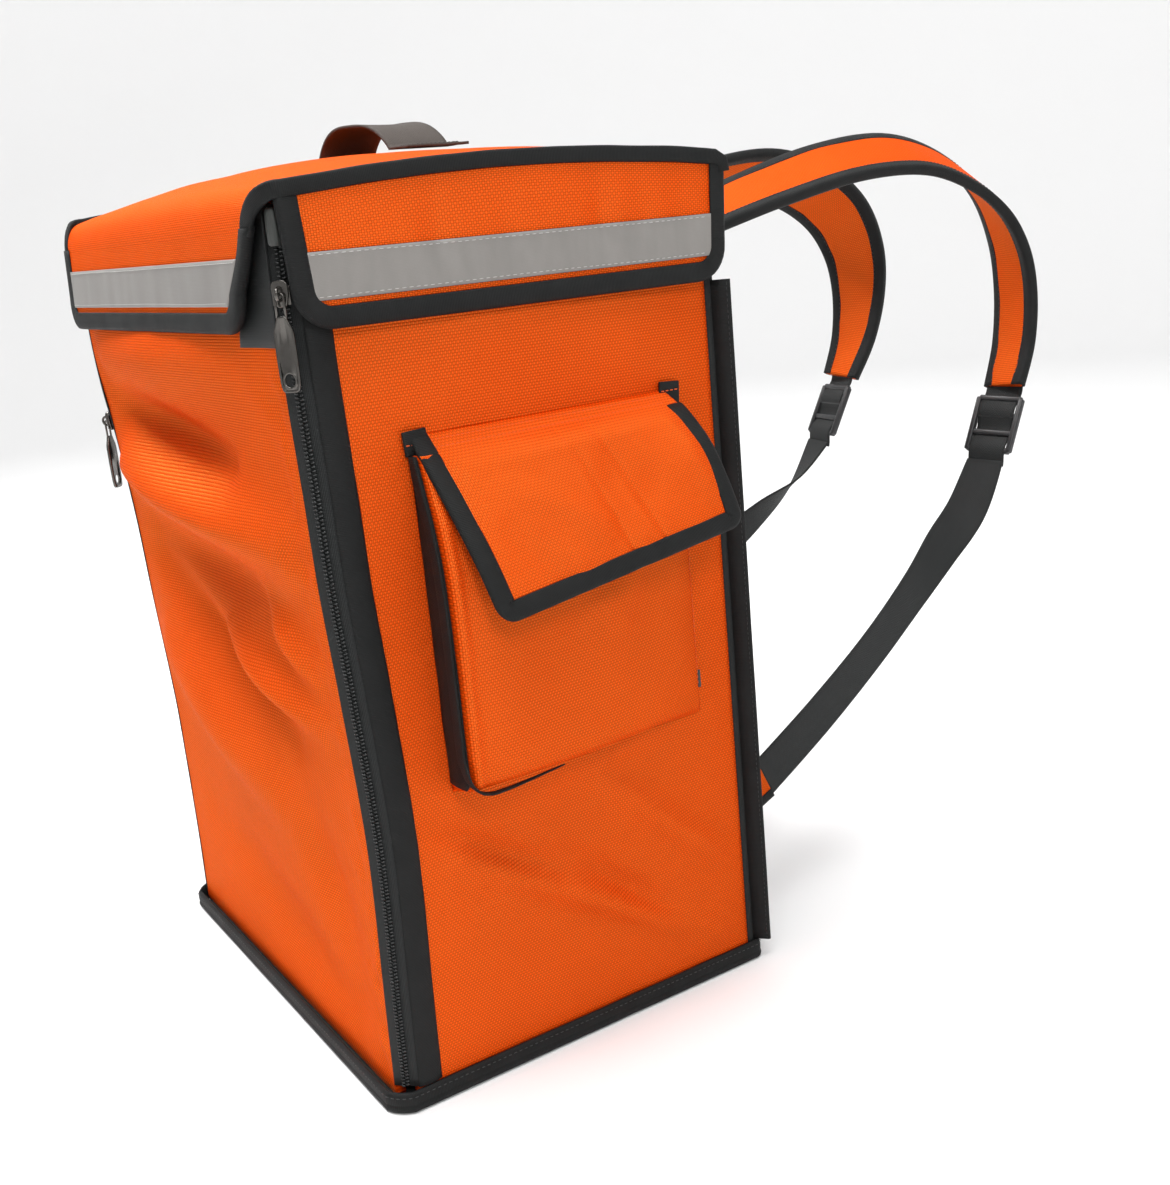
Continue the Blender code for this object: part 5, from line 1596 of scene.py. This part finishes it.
def make_pocket_flap():
    """Make the pocket's flap, its edge tape, its tabs and its stitching."""
    inset = 1.6 * MM / FLAP_WIDE
    round_wide = 9 * MM / FLAP_WIDE
    round_high = 9 * MM / FLAP_LONG

    def ends(down):
        rise = clamp((down - 1 + round_high) / round_high)
        return inset + round_wide * (1 - math.sqrt(max(1 - rise * rise, 0.0)))

    def at(share, down):
        start = ends(down)
        return flap_face(lerp(start, 1 - start, share), down)

    def chart(share, down):
        start = ends(down)
        return lerp(start, 1 - start, share) * FLAP_WIDE, -down * FLAP_LONG * 1.25

    limit = 1 - 1.6 * MM / FLAP_LONG
    downs = spaced(limit, 1 - round_high, 0.012)[:-1] + spaced(1 - round_high, 0.0, 0.024)
    shape = cloth_grid(spaced(0, 1, 0.0085), downs, at, chart)
    finish_piece("pocket_flap_cloth", shape, "orange", "pocket_flap", wall=FLAP_CLOTH, offset=0.0)

    rows = []
    for down in spaced(0.0, 1 - round_high, 0.05):
        rows.append((0.0, down, 1.0, 0.0))
    for index in range(1, 9):
        angle = math.pi / 2 * index / 9
        rows.append((round_wide * (1 - math.cos(angle)), 1 - round_high * (1 - math.sin(angle)),
                     math.cos(angle), -math.sin(angle)))
    for across in spaced(round_wide, 1 - round_wide, 0.035):
        rows.append((across, 1.0, 0.0, -1.0))
    for index in range(1, 9):
        angle = math.pi / 2 * (1 - index / 9)
        rows.append((1 - round_wide * (1 - math.cos(angle)), 1 - round_high * (1 - math.sin(angle)),
                     -math.cos(angle), -math.sin(angle)))
    for down in spaced(1 - round_high, 0.10, 0.05):
        rows.append((1.0, down, -1.0, 0.0))
    stations = []
    for across, down, in_across, in_down in rows:
        point, out = flap_frame(clamp(across, 0.0, 1.0), down)
        ahead = flap_face(across + in_across * 0.02, clamp(down + in_down * 0.035)) - point
        ahead = (ahead - out * ahead.dot(out)).normalized()
        stations.append((point - ahead * 0.6 * MM, ahead, out))
    shape = swept(fold_section(BINDING, FLAP_CLOTH / 2 + 1.1 * MM), stations)
    finish_piece("pocket_flap_tape", shape, "binding", "pocket_flap_binding")

    runs = []
    for down, high in ((0.035, 0.8), (0.075, 0.8)):
        route = []
        for across in spaced(0.06, 0.94, 0.02):
            point, out = flap_frame(across, down)
            route.append((point + out * (FLAP_CLOTH / 2 + 0.1 * MM), out))
        runs.append((route, 3.0 * MM, high))
    for top, low in POCKET_FLAP_SEAMS:
        route = []
        for down in spaced(0.10, 0.86, 0.05):
            point, out = flap_frame(lerp(top, low, down), down)
            route.append((point + out * FLAP_CLOTH * 0.42, out))
        runs.append((route, 2.6 * MM, 0.7))
    stitches("pocket_flap_stitches", runs, "orange_thread", "orange_nylon", radius=0.22 * MM)

    runs = []
    for end, word in ((0.0, "front"), (1.0, "rear")):
        low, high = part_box("pocket_tab_" + word)
        middle = (low + high) / 2 + Vector((1.4 * MM, lerp(3.0, 1.5, end) * MM, lerp(-9.5, -8.0, end) * MM))
        size = Vector((1.6 * MM, 14.0 * MM, lerp(13.0, 15.0, end) * MM))
        turn = Matrix.Translation(middle) @ Matrix.Rotation(math.radians(4 - 8 * end), 4, "X")
        shape = round_box(size, turn, 0.6 * MM)
        chart_box(shape, 1, 2)
        finish_piece("pocket_tab_tape_" + word, shape, "binding", "pocket_tab_" + word)
        route = [(Vector((middle.x + 0.9 * MM, y, middle.z + lerp(-1.0, 2.4, end) * MM)), Vector((1, 0, 0)))
                 for y in spaced(middle.y - 6.5 * MM, middle.y + 6.5 * MM, 2 * MM)]
        runs.append((route, 3.1 * MM, 0.86))
    stitches("tab_stitches", runs, "orange_thread", "black_binding", radius=0.42 * MM)


def make_handle():
    """Arch the webbing handle across the lid and stitch its feet."""
    half = HANDLE_SPAN / 2
    total = half + HANDLE_FOOT

    def at(share, x):
        y = HANDLE_OFFSET + (share - 0.5) * HANDLE_WIDTH
        out = min(abs(x) / half, 1.0)
        rise = HANDLE_RISE * (1 - out ** 3.0) ** 0.9 * (1 - 0.16 * x / half)
        sag = 1.4 * MM * math.exp(-(x / (20 * MM)) ** 2) * math.sin(math.pi * share)
        seat = max(lid_z(x, y), lid_z(x, HANDLE_OFFSET))
        foot = 0.9 * MM * ripple(x, y, 9 * MM, 14 * MM, 2.6) * ease((abs(x) - half) / (6 * MM))
        return Vector((x, y, seat + 3 * CLEAR + 1.6 * MM + rise - sag + abs(foot) * 0.4))

    def chart(share, x):
        return share * HANDLE_WIDTH, x * 1.08

    stations = spaced(total, half, 2.6 * MM)[:-1] + spaced(half, -half, 2.4 * MM)[:-1]
    stations += spaced(-half, -total, 2.6 * MM)
    shape = cloth_grid(spaced(0, 1, 0.0625), stations, at, chart)
    finish_piece("handle_webbing", shape, "handle", "top_handle", wall=1.6 * MM, offset=0.0)
    runs = []
    for side in (-1, 1):
        start = side * (half + 4 * MM)
        end = side * (total - 3 * MM)
        corners = ((0.12, start), (0.88, start), (0.88, end), (0.12, end), (0.12, start), (0.88, end))
        for (share_a, x_a), (share_b, x_b) in zip(corners, corners[1:]):
            route = []
            for step in spaced(0, 1, 0.1):
                point = at(lerp(share_a, share_b, step), lerp(x_a, x_b, step)) + Vector((0, 0, 0.9 * MM))
                route.append((point, Vector((0, 0, 1))))
            runs.append((route, 2.8 * MM, 0.75))
    stitches("handle_stitches", runs, "black_thread", "dark_webbing")


def tilted(along, angle):
    """Return a band's across and outward directions, turned about its path."""
    level = Vector((1, 0, 0))
    level = (level - along * level.dot(along)).normalized()
    across = level * math.cos(angle) + level.cross(along) * math.sin(angle)
    return across, across.cross(along)


def strap_row(share, side):
    """Return the middle, the tilt and the width of a shoulder strap."""
    reach, high, spread, tilt, wide = curve_row(STRAP_ROUTE, share)
    y = STRAP_SEAT + 1.2 * MM + reach * STRAP_REACH
    middle = Vector((side * spread * STRAP_SPREAD, y, high * HEIGHT))
    return middle, tilt, wide * STRAP_WIDTH


def strap_frame(share, side):
    """Return a strap's middle, across and outward directions and width."""
    step = 0.01
    middle, tilt, wide = strap_row(share, side)
    ahead = strap_row(min(share + step, 1.0), side)[0] - strap_row(max(share - step, 0.0), side)[0]
    across, outward = tilted(ahead.normalized(), -math.radians(tilt) * side)
    return middle, across, outward, wide


def webbing_frame(share, side):
    """Return the lower webbing's middle, across and outward directions."""
    step = 0.01

    def middle_at(place):
        reach, high, spread, _ = curve_row(WEBBING_ROUTE, place)
        return Vector((side * spread * STRAP_SPREAD, STRAP_SEAT + reach * STRAP_REACH, high * HEIGHT))

    along = (middle_at(min(share + step, 1)) - middle_at(max(share - step, 0))).normalized()
    twist = curve_row(WEBBING_ROUTE, share)[3]
    across, outward = tilted(along, math.radians(twist) * side)
    return middle_at(share), across, outward


def make_strap(side, word):
    """Make one padded strap with its bound edges, buckle, webbing and wing."""
    section = oval(1.0, 1.0, 32, 0.4, 0.75)
    pad = []
    edges = {1: [], -1: []}
    for share in spaced(0, 1, 0.012):
        middle, across, outward, wide = strap_frame(share, side)
        puff = 1 + 0.10 * ripple(share, side, 0.05, 1.0, 6.4)
        half = wide / 2 - 2.4 * MM
        pad.append((middle, across, outward, half, STRAP_THICK * 0.42 * puff))
        for edge in (1, -1):
            rim = middle + across * edge * wide / 2
            edges[edge].append((rim, across * -edge, outward))
    shape = swept(section, pad)
    finish_piece("strap_pad_" + word, shape, "orange", "shoulder_strap_" + word, fill=0.7)
    for edge, edge_word in ((1, "outer"), (-1, "inner")):
        shape = swept(fold_section(STRAP_EDGE, STRAP_THICK * 0.40, crown=0.25 * MM), edges[edge])
        node = "strap_binding_" + word + "_" + ("outer" if edge == side else "inner")
        finish_piece("strap_tape_" + word + "_" + edge_word, shape, "binding", node)
    runs = []
    for edge in (1, -1):
        for face in (1, -1):
            route = [(rim + inward * 8.6 * MM + outward * face * STRAP_THICK * 0.42, outward * face)
                     for rim, inward, outward in edges[edge]]
            runs.append((route, 3.6 * MM, 0.7))
    stitches("strap_stitches_" + word, runs, "black_thread", "black_binding", radius=0.24 * MM)

    def band(offset, share):
        middle, across, outward = webbing_frame(share, side)
        return middle + across * offset + outward * 0.25 * MM * math.sin(math.pi * offset / WEBBING_WIDTH)

    def band_chart(offset, share):
        return offset, share * 0.42

    half = WEBBING_WIDTH / 2
    shape = cloth_grid(spaced(-half, half, 1.9 * MM), spaced(0, 1, 0.008), band, band_chart)
    node = "strap_webbing_" + word
    finish_piece("lower_webbing_" + word, shape, "webbing", node, wall=WEBBING_THICK, offset=0.0)
    make_lock(side, word)
    make_wing(side, word)


def make_lock(side, word):
    """Make the ladder lock between the pad and the webbing."""
    top = strap_frame(1.0, side)[0]
    low, across, _ = webbing_frame(0.0, side)
    middle = (top + low) / 2
    along = (low - top).normalized()
    across = (across - along * across.dot(along)).normalized()
    outward = across.cross(along)
    turn = Matrix((
        (across.x, outward.x, along.x, middle.x),
        (across.y, outward.y, along.y, middle.y),
        (across.z, outward.z, along.z, middle.z),
        (0, 0, 0, 1),
    ))
    long = (low - top).length
    bars = []
    for edge in (-1, 1):
        spot = Matrix.Translation((edge * 17.8 * MM, 0, long * 0.02))
        bars.append(round_box((4.2 * MM, 5.4 * MM, long * 0.72), spot, 1.5 * MM, 3))
    for place, thick in ((-0.33, 4.6), (-0.10, 4.0), (0.13, 4.0), (0.36, 5.6)):
        spot = Matrix.Translation((0, 0.4 * MM, place * long))
        bars.append(round_box((36 * MM, thick * MM, 4.6 * MM), spot, 1.4 * MM, 3))
    shape = merge(bars)
    bmesh.ops.transform(shape, matrix=turn, verts=shape.verts)
    bmesh.ops.recalc_face_normals(shape, faces=shape.faces)
    finish_piece("lock_" + word, shape, "plastic", "ladder_lock_" + word)

    def tongue(offset, share):
        down = lerp(-0.56, 0.56, share) * long
        weave = 2.1 * MM * math.sin(share * math.pi * 4.4)
        return turn @ Vector((offset, weave, down))

    def tongue_chart(offset, share):
        return offset, share * long

    half = WEBBING_WIDTH / 2
    shape = cloth_grid(spaced(-half, half, 3 * MM), spaced(0, 1, 0.03), tongue, tongue_chart)
    finish_piece("lock_webbing_" + word, shape, "webbing", wall=1.4 * MM, offset=0.0)


def make_wing(side, word):
    """Sew the wing that joins the webbing to the bag's lower corner."""
    end, end_across, _ = webbing_frame(1.0, side)
    end_up = end_across if end_across.z > 0 else -end_across
    root_long = 58 * MM

    def at(share, up):
        root = Vector((side * 142 * MM, HALF_DEPTH + 2 * CLEAR, 100 * MM + (up - 0.5) * root_long))
        tip = end + end_up * (up - 0.5) * (WEBBING_WIDTH + 2 * MM)
        swell = side * 0.8 * MM * math.sin(math.pi * share) * math.sin(math.pi * up)
        return lerp(root, tip, share) + Vector((swell, 0, 0))

    def chart(share, up):
        return share * 50 * MM, up * root_long

    shape = cloth_grid(spaced(0, 1, 0.05), spaced(0, 1, 0.04), at, chart)
    finish_piece("wing_" + word, shape, "orange", "strap_wing_" + word, wall=2.6 * MM, offset=0.0)
    for edge, edge_word in ((0.0, "lower"), (1.0, "upper")):
        stations = []
        for share in spaced(0.06, 1, 0.05):
            point = at(share, edge)
            inward = (at(share, 0.5) - point).normalized()
            along = (at(min(share + 0.02, 1), edge) - at(share - 0.02, edge)).normalized()
            stations.append((point - inward * 0.6 * MM, inward, along.cross(inward).normalized()))
        shape = swept(fold_section(7 * MM, 2.3 * MM, crown=0.15 * MM), stations)
        finish_piece("wing_tape_" + word + "_" + edge_word, shape, "binding")


def make_yoke():
    """Sew the reinforcing yoke that holds the straps across the back."""
    low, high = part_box("strap_yoke")
    shape = round_box(high - low, Matrix.Translation((low + high) / 2), 0.6 * MM)
    chart_box(shape, 0, 2)
    finish_piece("yoke_tape", shape, "binding", "strap_yoke")
    runs = []
    for z in (low.z + 3 * MM, high.z - 3 * MM):
        route = [(Vector((x, high.y + 0.1 * MM, z)), Vector((0, 1, 0)))
                 for x in spaced(low.x + 3 * MM, high.x - 3 * MM, 8 * MM)]
        runs.append((route, 3.4 * MM, 0.7))
    stitches("yoke_stitches", runs, "grey_thread", "black_binding", radius=0.24 * MM)


def make_camera():
    """Place the photograph's camera."""
    data = bpy.data.cameras.new("photo_camera")
    data.lens = CAMERA_LENS
    data.sensor_width = CAMERA_SENSOR
    made = bpy.data.objects.new("photo_camera", data)
    ahead = Vector(CAMERA_AHEAD).normalized()
    up = Vector(CAMERA_UP).normalized()
    side = ahead.cross(up).normalized()
    up = side.cross(ahead)
    turn = Matrix((side, up, -ahead)).transposed().to_4x4()
    made.matrix_world = Matrix.Translation(CAMERA_PLACE) @ turn
    bpy.context.scene.collection.objects.link(made)
    bpy.context.scene.camera = made


def make_light(name, place, aim, size, power):
    """Hang one soft area light."""
    data = bpy.data.lights.new(name, "AREA")
    data.shape = "DISK"
    data.size = size
    data.energy = power
    made = bpy.data.objects.new(name, data)
    ahead = Vector(aim) - Vector(place)
    made.matrix_world = Matrix.Translation(place) @ ahead.to_track_quat("-Z", "Y").to_matrix().to_4x4()
    bpy.context.scene.collection.objects.link(made)


def make_stage():
    """Lay the pale floor, sweep it up into a backdrop and light it softly."""
    shape = bmesh.new()
    bmesh.ops.create_circle(shape, cap_ends=True, segments=96, radius=FLOOR_RADIUS)
    rim = [edge for edge in shape.edges if edge.is_boundary]
    for index in range(1, 15):
        grown = bmesh.ops.extrude_edge_only(shape, edges=rim)["geom"]
        rim = [item for item in grown if isinstance(item, bmesh.types.BMEdge) and item.is_boundary]
        angle = math.pi / 2 * min(index, 12) / 12
        radius = FLOOR_RADIUS + BACKDROP_BEND * math.sin(angle)
        height = BACKDROP_BEND * (1 - math.cos(angle)) + 1.6 * max(index - 12, 0)
        for vertex in [item for item in grown if isinstance(item, bmesh.types.BMVert)]:
            flat = vertex.co.xy.normalized() * radius
            vertex.co = (flat.x, flat.y, height)
    bmesh.ops.recalc_face_normals(shape, faces=shape.faces)
    mesh = bpy.data.meshes.new("pale_floor")
    shape.to_mesh(mesh)
    shape.free()
    mesh.shade_smooth()
    floor = bpy.data.objects.new("pale_floor", mesh)
    finish = Finish("pale_floor", (0.86, 0.86, 0.86), 0.95, specular=0.05)
    mesh.materials.append(finish.material)
    bpy.context.scene.collection.objects.link(floor)

    world = bpy.data.worlds.new("soft_studio")
    world.use_nodes = True
    world.node_tree.nodes["Background"].inputs["Color"].default_value = (1.0, 1.0, 1.0, 1.0)
    world.node_tree.nodes["Background"].inputs["Strength"].default_value = WORLD_STRENGTH
    bpy.context.scene.world = world
    bpy.context.scene.view_settings.view_transform = "Standard"
    for name, place, aim, size, power in LIGHTS:
        make_light(name, place, aim, size, power)


looks = make_finishes()
make_walls()
make_lid()
make_zips()
make_base_tape()
make_back_flanges()
make_pocket()
make_handle()
make_yoke()
for side, word, drop in SLIDER_DROPS:
    make_sleeve(word)
    make_slider(side, word, drop)
    make_strap(side, word)
make_stage()
make_camera()
